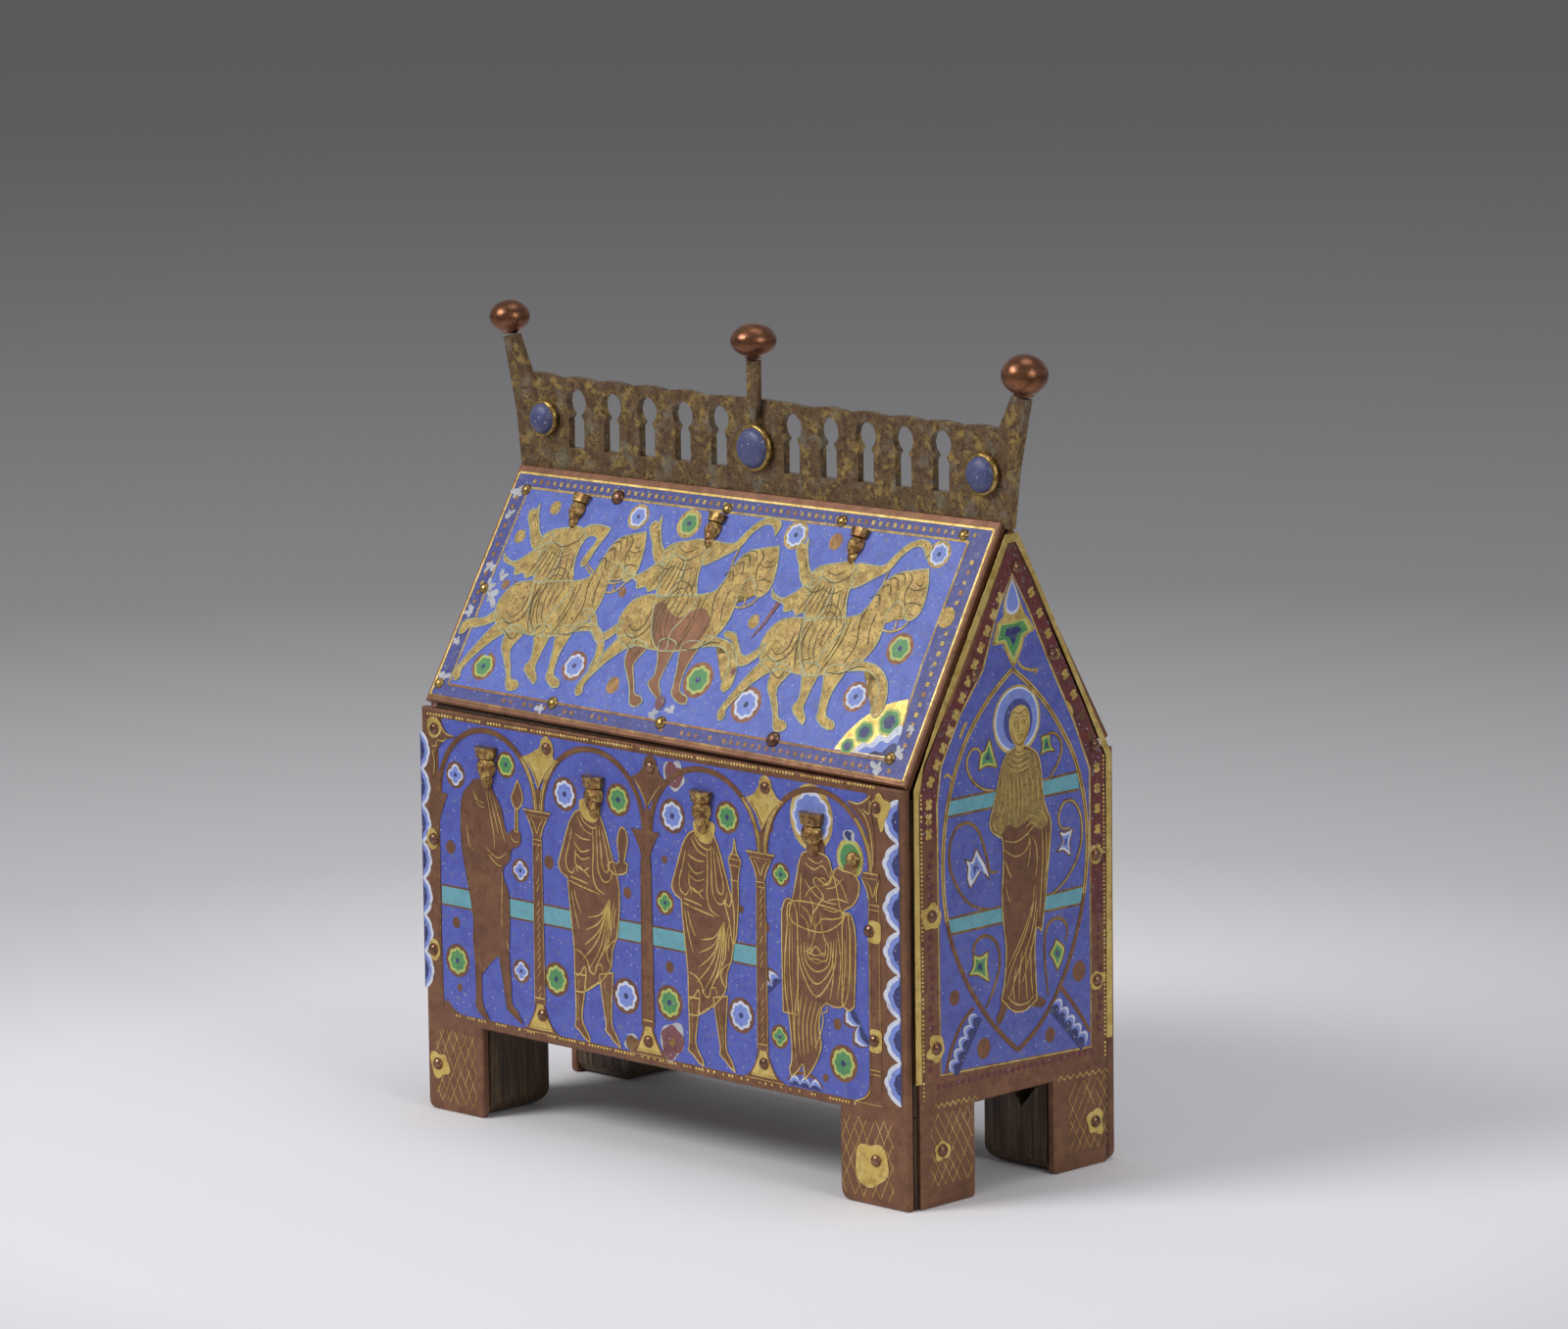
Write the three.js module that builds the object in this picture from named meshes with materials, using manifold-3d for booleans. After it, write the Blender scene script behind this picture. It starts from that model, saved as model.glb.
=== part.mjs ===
// A house-shaped reliquary casket: six copper plates nailed over a hollow wooden core, with a pierced
// crest along the ridge. Millimetres, +Z up. X runs along the casket, -Y is the front.
import * as THREE from 'three';
import { mergeVertices } from 'three/addons/utils/BufferGeometryUtils.js';
import Module from 'manifold-3d';

const wasm = await Module();
wasm.setup();

// ---- Driving dimensions -------------------------------------------------------------------------
const WALL_LENGTH = 161.0;        // front and back plates, end to end
const CASKET_DEPTH = 71.6;        // from the front plate's face to the back plate's face
const WALL_TOP = 99.6;            // top edge of the front and back plates
const BELLY = 22.2;               // underside of the body between the feet
const PLATE = 2.3;                // copper of the walls and gables
const ROOF_PLATE = 2.0;           // copper of the roof
const CLEAR = 0.3;                // gap left between neighbouring pieces
const ARRIS = 0.4;                // small bevel along the plates' cut edges

const FOOT_WIDTH = { left: 19.3, right: 21.6 };   // feet of the long plates
const GABLE_FOOT_WIDTH = 18.4;                    // feet of the gable plates
const GABLE_LENGTH = 64.0;                        // gable plates, front to back
const GABLE_FACE = 81.4;                          // distance of a gable's face from the middle
const GABLE_SHOULDER = 98.2;                      // where a gable's slopes start
const GABLE_APEX = { left: 152.5, right: 155.6 }; // the ridge sags towards the left

const ROOF_LENGTH = 160.2;
const EAVE_REACH = 34.9;          // distance of the eaves from the ridge line
const RIDGE_REACH = 1.35;         // distance of the roof plates' top edges from it
const EAVE_Z = { front: [101.2, 100.2], rear: [102.0, 102.4] };  // left end, right end
const RIDGE_Z = [154.9, 158.0];                                  // left end, right end

const BOARD = 7.0;                // thickness of the core's boards
const ROOF_BOARD = 6.0;
const CORE_LENGTH = 157.4;        // between the gable plates
const ROOF_BOARD_LENGTH = 155.0;
const CORNER_STRIP = 0.9;         // depth of the wood seen between front plate and gable plate
const CORNER_REACH = 80.3;        // how far that strip reaches along X

const CREST_THICK = 2.0;
const CREST_BOTTOM = [153.1, 156.2];   // left end, right end
const CREST_TOP = [177.6, 179.8];
const KEYHOLE_PITCH = 12.1;
const KEYHOLES_EACH_SIDE = 5;
const KEYHOLE_HEAD = 3.4;              // radius of a keyhole's round head
const KEYHOLE_SLOT = 5.2;              // width of its slot

const NAIL_RADIUS = 1.45;
const NAIL_HEIGHT = 1.0;

const half = WALL_LENGTH / 2;
const face = CASKET_DEPTH / 2;
const coreFace = face - PLATE - CLEAR;            // outer face of the front and back boards
const coreHalf = CORE_LENGTH / 2;

// ---- Materials ----------------------------------------------------------------------------------
const finish = (color, roughness, metalness) => new THREE.MeshStandardMaterial({ color, roughness, metalness });
const COPPER = finish(0x7a5236, 0.42, 0.9);
const GILT = finish(0xb08d4a, 0.38, 0.95);
const KNOB_COPPER = finish(0x6b4428, 0.3, 0.9);
const ENAMEL = finish(0x3f4fa8, 0.3, 0.0);
const WOOD = finish(0x5b4a30, 0.8, 0.0);

// ---- Small helpers ------------------------------------------------------------------------------
const lerp = THREE.MathUtils.lerp;
const casket = new THREE.Group();

function node(name, geometry, material, parent = casket) {
  const mesh = new THREE.Mesh(geometry, material);
  mesh.name = name;
  parent.add(mesh);
  return mesh;
}

// A closed three.js geometry as a solid that can be joined and cut.
function solid(geometry) {
  const bare = geometry.index ? geometry.toNonIndexed() : geometry.clone();
  for (const name of Object.keys(bare.attributes)) if (name !== 'position') bare.deleteAttribute(name);
  const merged = mergeVertices(bare, 1e-4);
  return new wasm.Manifold(new wasm.Mesh({
    numProp: 3,
    vertProperties: Float32Array.from(merged.attributes.position.array),
    triVerts: Uint32Array.from(merged.index.array),
  }));
}

function geometryOf(manifold) {
  const { vertProperties, triVerts } = manifold.getMesh();
  const geometry = new THREE.BufferGeometry();
  geometry.setAttribute('position', new THREE.BufferAttribute(Float32Array.from(vertProperties), 3));
  geometry.setIndex(new THREE.BufferAttribute(Uint32Array.from(triVerts), 1));
  return geometry;
}

const joined = (first, ...others) => geometryOf(others.reduce((sum, part) => sum.add(solid(part)), solid(first)));

function box(low, high) {
  const size = high.map((value, axis) => value - low[axis]);
  const middle = high.map((value, axis) => (value + low[axis]) / 2);
  return new THREE.BoxGeometry(...size).translate(...middle);
}

// A closed body through rings of equally many points; the two end rings are convex and become caps.
function loft(rings) {
  const count = rings[0].length;
  const positions = rings.flat().flatMap((point) => [point.x, point.y, point.z]);
  const index = [];
  for (let ring = 0; ring + 1 < rings.length; ring++) {
    for (let i = 0; i < count; i++) {
      const a = ring * count + i;
      const b = ring * count + (i + 1) % count;
      index.push(a, b, b + count, a, b + count, a + count);
    }
  }
  const last = (rings.length - 1) * count;
  for (let i = 1; i + 1 < count; i++) index.push(0, i + 1, i, last, last + i, last + i + 1);
  const geometry = new THREE.BufferGeometry();
  geometry.setAttribute('position', new THREE.Float32BufferAttribute(positions, 3));
  geometry.setIndex(index);
  return volume(geometry) < 0 ? flipped(geometry) : geometry;
}

function volume(geometry) {
  const at = (i) => new THREE.Vector3().fromBufferAttribute(geometry.attributes.position, geometry.index.getX(i));
  let sum = 0;
  for (let i = 0; i < geometry.index.count; i += 3) sum += at(i).dot(at(i + 1).cross(at(i + 2)));
  return sum / 6;
}

function flipped(geometry) {
  const index = Array.from(geometry.index.array);
  for (let i = 0; i < index.length; i += 3) [index[i], index[i + 1]] = [index[i + 1], index[i]];
  geometry.setIndex(index);
  return geometry;
}

// An outline drawn as seen from outside, as a bevelled plate. It lies in XY, its face at +Z = 0.
function plate(shape, thickness) {
  const body = new THREE.ExtrudeGeometry(shape, {
    depth: thickness - 2 * ARRIS, bevelEnabled: true, bevelThickness: ARRIS, bevelSize: ARRIS,
    bevelOffset: -ARRIS, bevelSegments: 1, curveSegments: 4,
  });
  return body.translate(0, 0, ARRIS - thickness);
}

// Frames in which a plate's outline is drawn: X to the right and Y up, seen from outside.
const FRAMES = {
  front: new THREE.Matrix4().makeBasis(
    new THREE.Vector3(1, 0, 0), new THREE.Vector3(0, 0, 1), new THREE.Vector3(0, -1, 0)),
  back: new THREE.Matrix4().makeBasis(
    new THREE.Vector3(-1, 0, 0), new THREE.Vector3(0, 0, 1), new THREE.Vector3(0, 1, 0)),
  right: new THREE.Matrix4().makeBasis(
    new THREE.Vector3(0, 1, 0), new THREE.Vector3(0, 0, 1), new THREE.Vector3(1, 0, 0)),
  left: new THREE.Matrix4().makeBasis(
    new THREE.Vector3(0, -1, 0), new THREE.Vector3(0, 0, 1), new THREE.Vector3(-1, 0, 0)),
};

function standing(side, distance) {
  return FRAMES[side].clone().multiply(new THREE.Matrix4().makeTranslation(0, 0, distance));
}

// ---- Nails --------------------------------------------------------------------------------------
// A low domed nail head on a plate drawn in XY, sunk a little into it.
function nailHead(x, y) {
  const rise = [0, 0.62, 1];
  const profile = [new THREE.Vector2(0, -0.5), new THREE.Vector2(NAIL_RADIUS, -0.5)];
  for (const t of rise) {
    const angle = t * Math.PI / 2;
    profile.push(new THREE.Vector2(NAIL_RADIUS * Math.cos(angle), NAIL_HEIGHT * Math.sin(angle)));
  }
  profile[profile.length - 1].x = 0;
  return new THREE.LatheGeometry(profile, 8).rotateX(Math.PI / 2).translate(x, y, 0);
}

const withNails = (body, places) => joined(body, ...places.map(([x, y]) => nailHead(x, y)));

// ---- Wall plates --------------------------------------------------------------------------------
// A long plate: a rectangle on two feet, whose outer bottom corners and inner foot corners are eased.
function wallOutline(leftFoot, rightFoot) {
  const ease = 1.6;
  const shape = new THREE.Shape();
  shape.moveTo(-half, ease * 1.5);
  shape.lineTo(-half, WALL_TOP);
  shape.lineTo(half, WALL_TOP);
  shape.lineTo(half, 0);
  shape.lineTo(half - rightFoot + 2 * ease, 0);
  shape.quadraticCurveTo(half - rightFoot, 0, half - rightFoot, 2 * ease);
  shape.lineTo(half - rightFoot, BELLY);
  shape.lineTo(-half + leftFoot, BELLY);
  shape.lineTo(-half + leftFoot, ease);
  shape.quadraticCurveTo(-half + leftFoot, 0, -half + leftFoot - ease, 0);
  shape.lineTo(-half + 1.5 * ease, 0);
  shape.quadraticCurveTo(-half, 0, -half, 1.5 * ease);
  return shape;
}

const SPANDRELS = [-75.7, -36.5, -1.7, 36.2, 71.8];    // between the arches along the front plate
const frontNails = [
  ...SPANDRELS.map((x) => [x, 94.7]),
  [-76.7, 67.3], [-77.6, 39.8], [69.2, 65.2], [70.4, 39.4],
  [-39.8, 29.0], [-3.8, 28.0], [34.6, 28.5],
  [-76.9, 11.4], [70.5, 10.9],
];
const backNails = [
  ...[-75, -38, 0, 38, 75].flatMap((x) => [[x, 94.6], [x, 28.4]]),
  [-75, 61], [75, 61], [-71, 11.2], [71, 11.2],
];

node('front_wall_plate',
  withNails(plate(wallOutline(FOOT_WIDTH.left, FOOT_WIDTH.right), PLATE), frontNails)
    .applyMatrix4(standing('front', face)), COPPER);
node('back_wall_plate',
  withNails(plate(wallOutline(FOOT_WIDTH.right, FOOT_WIDTH.left), PLATE), backNails)
    .applyMatrix4(standing('back', face)), COPPER);

// ---- Gable plates -------------------------------------------------------------------------------
function gableOutline(apex) {
  const side = GABLE_LENGTH / 2;
  const inner = side - GABLE_FOOT_WIDTH;
  const ease = 1.4;
  const shape = new THREE.Shape();
  shape.moveTo(-side, 0);
  shape.lineTo(-side, GABLE_SHOULDER);
  shape.lineTo(0, apex);
  shape.lineTo(side, GABLE_SHOULDER);
  shape.lineTo(side, 0);
  shape.lineTo(inner + ease, 0);
  shape.quadraticCurveTo(inner, 0, inner, ease);
  shape.lineTo(inner, BELLY + 0.3);
  shape.lineTo(-inner, BELLY + 0.3);
  shape.lineTo(-inner, ease);
  shape.quadraticCurveTo(-inner, 0, -inner - ease, 0);
  return shape;
}

// Nails down both borders of a gable, one under its apex and two on its feet.
const gableNails = {
  right: [
    [1.8, 146.9], [-12.8, 123.4], [13.9, 124.6], [28.3, 101.1], [-27.8, 69.1], [28.4, 74.8],
    [-26.6, 37.6], [28.8, 44.5], [-25.0, 13.1], [27.8, 10.5],
  ],
  left: [[0.4, 143.6], ...[[13.4, 123.5], [27.8, 100.0], [28.2, 71.0], [28.0, 41.0], [25.6, 11.6]]
    .flatMap(([y, z]) => [[-y, z], [y, z]])],
};

for (const side of ['left', 'right']) {
  const apex = GABLE_APEX[side];
  node(`${side}_gable_plate`,
    withNails(plate(gableOutline(apex), PLATE), gableNails[side]).applyMatrix4(standing(side, GABLE_FACE)), COPPER);
}

// ---- Roof plates --------------------------------------------------------------------------------
// The roof's outer surface over one side of the ridge: a slightly twisted patch, because the ridge
// sags towards the left. At a place x along it, slopeAt gives its section's line.
function slopeAt(side, x) {
  const along = x / ROOF_LENGTH + 0.5;
  const eave = new THREE.Vector2(EAVE_REACH, lerp(...EAVE_Z[side], along));
  const ridge = new THREE.Vector2(RIDGE_REACH, lerp(...RIDGE_Z, along));
  const direction = ridge.clone().sub(eave);
  const length = direction.length();
  direction.normalize();
  const out = new THREE.Vector2(direction.y, -direction.x);
  const sign = side === 'front' ? -1 : 1;
  const place = (t, height) => eave.clone().addScaledVector(direction, t).addScaledVector(out, height);
  const point = (flat) => new THREE.Vector3(x, sign * flat.x, flat.y);
  // Height of the surface sunk by depth, straight above a distance from the ridge line.
  const heightOver = (reach, depth) =>
    eave.y + (eave.x - reach) * direction.y / -direction.x - depth / -direction.x;
  return { length, direction, out, sign, place, point, heightOver };
}

const ROOF_STATIONS = 6;
const stations = (length, count) => Array.from({ length: count + 1 }, (_, i) => length * (i / count - 0.5));

function roofPlate(side) {
  const rings = stations(ROOF_LENGTH, ROOF_STATIONS).map((x) => {
    const { length, place, point, heightOver } = slopeAt(side, x);
    return [
      point(place(0.5, 0)), point(place(length, 0)),
      point(new THREE.Vector2(RIDGE_REACH, heightOver(RIDGE_REACH, ROOF_PLATE))),
      point(place(0.4, -ROOF_PLATE)), point(place(0, -ROOF_PLATE / 2)),
    ];
  });
  return loft(rings);
}

// A place on a roof plate: x along it, t up its slope, with Z out of the plate and Y up the slope.
function roofFrame(side, x, t, lift = 0) {
  const { direction, out, sign, place, point } = slopeAt(side, x);
  const up = new THREE.Vector3(0, sign * direction.x, direction.y);
  const outward = new THREE.Vector3(0, sign * out.x, out.y);
  const right = new THREE.Vector3().crossVectors(up, outward);
  const frame = new THREE.Matrix4().makeBasis(right, up, outward);
  return frame.setPosition(point(place(t, lift)));
}

const roofNails = {
  front: [
    [-74.2, 56.8], [-43.0, 58.4], [-6.4, 59.7], [31.2, 61.3], [70.1, 62.1],
    [-75.1, 30.4], [-77.3, 4.7], [-38.1, 4.9], [-1.5, 4.9], [35.2, 5.8], [72.6, 6.3],
  ],
  rear: [-75, -38, 0, 38, 75].flatMap((x) => [[x, 60.0], [x, 5.0]]).concat([[-76, 32], [76, 32]]),
};

for (const side of ['front', 'rear']) {
  const nails = roofNails[side].map(([x, t]) => nailHead(0, 0).applyMatrix4(roofFrame(side, x, t)));
  node(`${side}_roof_plate`, joined(roofPlate(side), ...nails), COPPER);
}

// ---- Wooden core --------------------------------------------------------------------------------
const roofBoardTop = ROOF_PLATE + CLEAR;
const roofBoardUnder = roofBoardTop + ROOF_BOARD;

function roofBoard(side) {
  const low = coreFace;
  const high = 0.4;
  const rings = stations(ROOF_BOARD_LENGTH, ROOF_STATIONS).map((x) => {
    const { point, heightOver } = slopeAt(side, x);
    const corner = (reach, depth) => point(new THREE.Vector2(reach, heightOver(reach, depth)));
    return [corner(low, roofBoardTop), corner(high, roofBoardTop), corner(high, roofBoardUnder),
      corner(low, roofBoardUnder)];
  });
  return loft(rings);
}

// Lowest height of the roof boards' underside at a distance from the ridge line, over the whole roof.
function underRoof(reach) {
  const ends = [-ROOF_BOARD_LENGTH / 2, ROOF_BOARD_LENGTH / 2];
  const heights = ['front', 'rear'].flatMap((side) =>
    ends.map((x) => slopeAt(side, x).heightOver(reach, roofBoardUnder)));
  return Math.min(...heights) - CLEAR * 2;
}

// A long board with its top bevelled to lie under the roof, and two thin strips that reach out to the
// corners between the long plate and the gable plates.
function longBoard(sign) {
  const outer = coreFace;
  const inner = coreFace - BOARD;
  const ring = (x) => [
    new THREE.Vector3(x, sign * outer, BELLY), new THREE.Vector3(x, sign * outer, underRoof(outer)),
    new THREE.Vector3(x, sign * inner, underRoof(inner)), new THREE.Vector3(x, sign * inner, BELLY),
  ];
  const body = loft([ring(-coreHalf), ring(coreHalf)]);
  const stripTop = 97;
  const strips = [-1, 1].map((end) => {
    const reach = [end * (ROOF_BOARD_LENGTH / 2 + CLEAR), end * CORNER_REACH].sort((a, b) => a - b);
    const depth = [sign * outer, sign * (outer - CORNER_STRIP)].sort((a, b) => a - b);
    return box([reach[0], depth[0], BELLY], [reach[1], depth[1], stripTop]);
  });
  return joined(body, ...strips);
}

function endBoard(sign) {
  const side = coreFace - BOARD - CLEAR;
  const outer = sign * coreHalf;
  const inner = sign * (coreHalf - BOARD);
  const ring = (x) => [
    new THREE.Vector3(x, -side, BELLY), new THREE.Vector3(x, side, BELLY),
    new THREE.Vector3(x, side, underRoof(side)), new THREE.Vector3(x, 0.5, underRoof(0.5)),
    new THREE.Vector3(x, -0.5, underRoof(0.5)), new THREE.Vector3(x, -side, underRoof(side)),
  ];
  return loft([ring(inner), ring(outer)]);
}

node('front_board', longBoard(-1), WOOD);
node('back_board', longBoard(1), WOOD);
node('left_end_board', endBoard(-1), WOOD);
node('right_end_board', endBoard(1), WOOD);
node('front_roof_board', roofBoard('front'), WOOD);
node('rear_roof_board', roofBoard('rear'), WOOD);
const floorX = coreHalf - BOARD - CLEAR;
const floorY = coreFace - BOARD - CLEAR;
node('floor_board', box([-floorX, -floorY, BELLY], [floorX, floorY, BELLY + BOARD]), WOOD);

// A wooden foot behind each corner's plates, its inner bottom corners rounded. One of them has lost a
// chip from its top edge.
function woodenFoot(endSign, sideSign, width) {
  const top = BELLY - CLEAR;
  const round = 4.2;
  const depthInner = GABLE_LENGTH / 2 - GABLE_FOOT_WIDTH;
  const widthInner = half - width;
  const profile = (inner, outer) => {
    const shape = new THREE.Shape();
    shape.moveTo(outer, 0);
    shape.lineTo(outer, top);
    shape.lineTo(inner, top);
    shape.absarc(inner + round, round, round, Math.PI, Math.PI * 1.5, false);
    shape.lineTo(outer, 0);
    return shape;
  };
  const long = new THREE.ExtrudeGeometry(profile(widthInner, CORNER_REACH + 1),
    { depth: coreFace, bevelEnabled: false, curveSegments: 4 });
  long.rotateX(Math.PI / 2).translate(0, coreFace, 0);
  const across = new THREE.ExtrudeGeometry(profile(depthInner, coreFace),
    { depth: CORNER_REACH, bevelEnabled: false, curveSegments: 4 });
  across.rotateX(Math.PI / 2).rotateZ(Math.PI / 2);
  const corner = box([coreHalf, 0, -1], [CORNER_REACH + 2, coreFace - CORNER_STRIP, top + 1]);
  let foot = solid(long).intersect(solid(across)).subtract(solid(corner));
  if (endSign > 0 && sideSign > 0) foot = foot.subtract(solid(chip(depthInner, top)));
  const geometry = geometryOf(foot);
  geometry.scale(endSign, sideSign, 1);
  return endSign * sideSign < 0 ? flipped(geometry) : geometry;
}

function chip(depthInner, top) {
  const shape = new THREE.Shape();
  shape.moveTo(65.2, top + 1);
  shape.lineTo(70.7, 15.0);
  shape.lineTo(78.0, top + 1);
  const wedge = new THREE.ExtrudeGeometry(shape, { depth: 5, bevelEnabled: false });
  return wedge.rotateX(Math.PI / 2).translate(0, depthInner + 4, 0);
}

node('front_left_foot', woodenFoot(-1, -1, FOOT_WIDTH.left), WOOD);
node('front_right_foot', woodenFoot(1, -1, FOOT_WIDTH.right), WOOD);
node('rear_left_foot', woodenFoot(-1, 1, FOOT_WIDTH.left), WOOD);
node('rear_right_foot', woodenFoot(1, 1, FOOT_WIDTH.right), WOOD);

// ---- Crest --------------------------------------------------------------------------------------
const crestEnds = [-79.6, 82.2];
const crestBottom = (x) => lerp(...CREST_BOTTOM, (x - crestEnds[0]) / (crestEnds[1] - crestEnds[0]));
const crestTop = (x) => lerp(...CREST_TOP, (x - crestEnds[0]) / (crestEnds[1] - crestEnds[0]));

// A post at an end of the strip: its foot in the strip's top corner, leaning outwards.
const POSTS = {
  left: { foot: [-79.9, 168.0], top: [-83.4, 186.2], width: 4.2 },
  right: { foot: [82.0, 170.0], top: [85.4, 187.3], width: 4.8 },
};

// The strip's outline: a straight foot, ends that flare into the posts, and a scalloped top.
function crestOutline() {
  const shape = new THREE.Shape();
  const { left, right } = POSTS;
  shape.moveTo(crestEnds[0], crestBottom(crestEnds[0]));
  shape.lineTo(left.foot[0] - 1.4, left.foot[1]);
  shape.lineTo(left.top[0] - left.width / 2, left.top[1] - 0.6);
  shape.lineTo(left.top[0] + left.width / 2, left.top[1] + 0.4);
  shape.lineTo(-77.2, crestTop(-77.2));
  const joints = [];
  for (let i = -KEYHOLES_EACH_SIDE; i <= KEYHOLES_EACH_SIDE; i++) {
    joints.push((Math.abs(i) + 0.5) * KEYHOLE_PITCH * Math.sign(i));
  }
  const notch = 0.7;
  joints.filter((x) => x !== 0).concat([78.6]).reduce((from, to) => {
    shape.quadraticCurveTo((from + to) / 2, crestTop((from + to) / 2) + notch, to, crestTop(to) - notch);
    return to;
  }, -77.2);
  shape.lineTo(right.top[0] - right.width / 2, right.top[1] + 0.4);
  shape.lineTo(right.top[0] + right.width / 2, right.top[1] - 0.4);
  shape.lineTo(right.foot[0] + 2.0, right.foot[1]);
  shape.lineTo(crestEnds[1], crestBottom(crestEnds[1]));
  return shape;
}

// A keyhole: a round head over a narrower slot, with a pointed shoulder on either side between them.
function keyhole(x) {
  const base = crestBottom(x);
  const headZ = base + 18.2;
  const neckZ = headZ - 2.9;
  const slot = KEYHOLE_SLOT / 2;
  const cusp = Math.sqrt(KEYHOLE_HEAD ** 2 - (headZ - neckZ) ** 2);
  const angle = Math.atan2(neckZ - headZ, cusp);
  const path = new THREE.Shape();
  path.moveTo(x - slot, base + 7.0);
  path.lineTo(x - slot, neckZ - 1.3);
  path.absarc(x, headZ, KEYHOLE_HEAD, Math.PI - angle, angle, true);
  path.lineTo(x + slot, neckZ - 1.3);
  path.lineTo(x + slot, base + 7.0);
  return path;
}

function crestStrip() {
  const slab = (shape, thick) => solid(new THREE.ExtrudeGeometry(shape, {
    depth: thick, bevelEnabled: false, curveSegments: 5,
  }).translate(0, 0, -thick / 2));
  let strip = slab(crestOutline(), CREST_THICK);
  for (let i = 1; i <= KEYHOLES_EACH_SIDE; i++) {
    strip = strip.subtract(slab(keyhole(i * KEYHOLE_PITCH), CREST_THICK * 2));
    strip = strip.subtract(slab(keyhole(-i * KEYHOLE_PITCH), CREST_THICK * 2));
  }
  return geometryOf(strip).applyMatrix4(FRAMES.front);
}

node('crest_strip', crestStrip(), GILT);

// The middle post is a bar whose pointed foot lies over the strip's face.
const crestFace = CREST_THICK / 2 + CLEAR;
const MIDDLE_POST = { x: 1.2, foot: 173.6, top: 188.4, width: 3.8, thick: 2.0 };

function middlePost() {
  const { x, foot, top, width, thick } = MIDDLE_POST;
  const shape = new THREE.Shape();
  shape.moveTo(x - 0.7, foot);
  shape.lineTo(x - width / 2, foot + 5.5);
  shape.lineTo(x - width / 2, top);
  shape.lineTo(x + width / 2, top);
  shape.lineTo(x + width / 2, foot + 5.5);
  shape.lineTo(x + 0.7, foot);
  const bar = new THREE.ExtrudeGeometry(shape, {
    depth: thick - 0.8, bevelEnabled: true, bevelThickness: 0.4, bevelSize: 0.4, bevelOffset: -0.4,
    bevelSegments: 1,
  });
  return bar.translate(0, 0, crestFace + 0.4).applyMatrix4(FRAMES.front);
}

node('crest_middle_post', middlePost(), GILT);

// A flattened ball, flat under, sitting square on the end of its post.
function knob(radius, rise) {
  const profile = [new THREE.Vector2(0, 0), new THREE.Vector2(radius * 0.42, 0)];
  const steps = 8;
  const start = Math.asin(-0.9);
  for (let i = 0; i <= steps; i++) {
    const angle = lerp(start, Math.PI / 2, i / steps);
    profile.push(new THREE.Vector2(radius * Math.cos(angle), rise * (0.92 + Math.sin(angle))));
  }
  profile[profile.length - 1].x = 0;
  return new THREE.LatheGeometry(profile, 16).rotateX(Math.PI / 2);
}

function knobOn(name, radius, rise, post, depth) {
  const lean = Math.atan2(post.top[0] - post.foot[0], post.top[1] - post.foot[1]);
  const mesh = node(name, knob(radius, rise), KNOB_COPPER);
  mesh.rotation.set(0, lean, 0);
  mesh.position.set(post.top[0], depth, post.top[1] + CLEAR + 0.4);
}

const middlePostDepth = -(crestFace + MIDDLE_POST.thick / 2);
knobOn('crest_left_knob', 5.0, 4.1, POSTS.left, 0);
knobOn('crest_middle_knob', 5.6, 4.3, {
  foot: [MIDDLE_POST.x, MIDDLE_POST.foot], top: [MIDDLE_POST.x, MIDDLE_POST.top - 0.3],
}, middlePostDepth);
knobOn('crest_right_knob', 5.6, 5.0, POSTS.right, 0);

// A domed enamel boss in a low collar, flat behind, on the strip's front.
function boss(radius) {
  const collar = 1.5;
  const dome = 2.1;
  const inner = radius - 0.8;
  const profile = [
    new THREE.Vector2(0, 0), new THREE.Vector2(radius, 0), new THREE.Vector2(radius, collar * 0.6),
    new THREE.Vector2(inner, collar),
  ];
  const steps = 4;
  for (let i = 1; i <= steps; i++) {
    const angle = (i / steps) * Math.PI / 2;
    profile.push(new THREE.Vector2(inner * Math.cos(angle), collar + (dome - 0.4) * Math.sin(angle)));
  }
  profile[profile.length - 1].x = 0;
  return new THREE.LatheGeometry(profile, 20).rotateX(Math.PI / 2);
}

const BOSSES = { left: [-70.9, 167.0, 4.6], middle: [0.4, 167.0, 5.9], right: [74.3, 168.4, 5.2] };
for (const [place, [x, z, radius]] of Object.entries(BOSSES)) {
  const onStrip = standing('front', crestFace).multiply(new THREE.Matrix4().makeTranslation(x, z, 0));
  node(`crest_${place}_boss`, boss(radius).applyMatrix4(onStrip), ENAMEL);
}

// ---- Applied relief heads -----------------------------------------------------------------------
// Heads are drawn upright in XY, facing +Z, with the chin near the origin and the back flat at Z = 0.
function ellipsoid(radii, centre, columns = 10, rows = 7) {
  return new THREE.SphereGeometry(1, columns, rows).scale(...radii).translate(...centre);
}

function crown(width, low, depth) {
  const ring = new THREE.CylinderGeometry(width * 0.56, width * 0.47, width * 0.42, 10);
  return ring.scale(1, 1, depth / width * 1.5).translate(0, low + width * 0.21, depth * 0.28);
}

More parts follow.
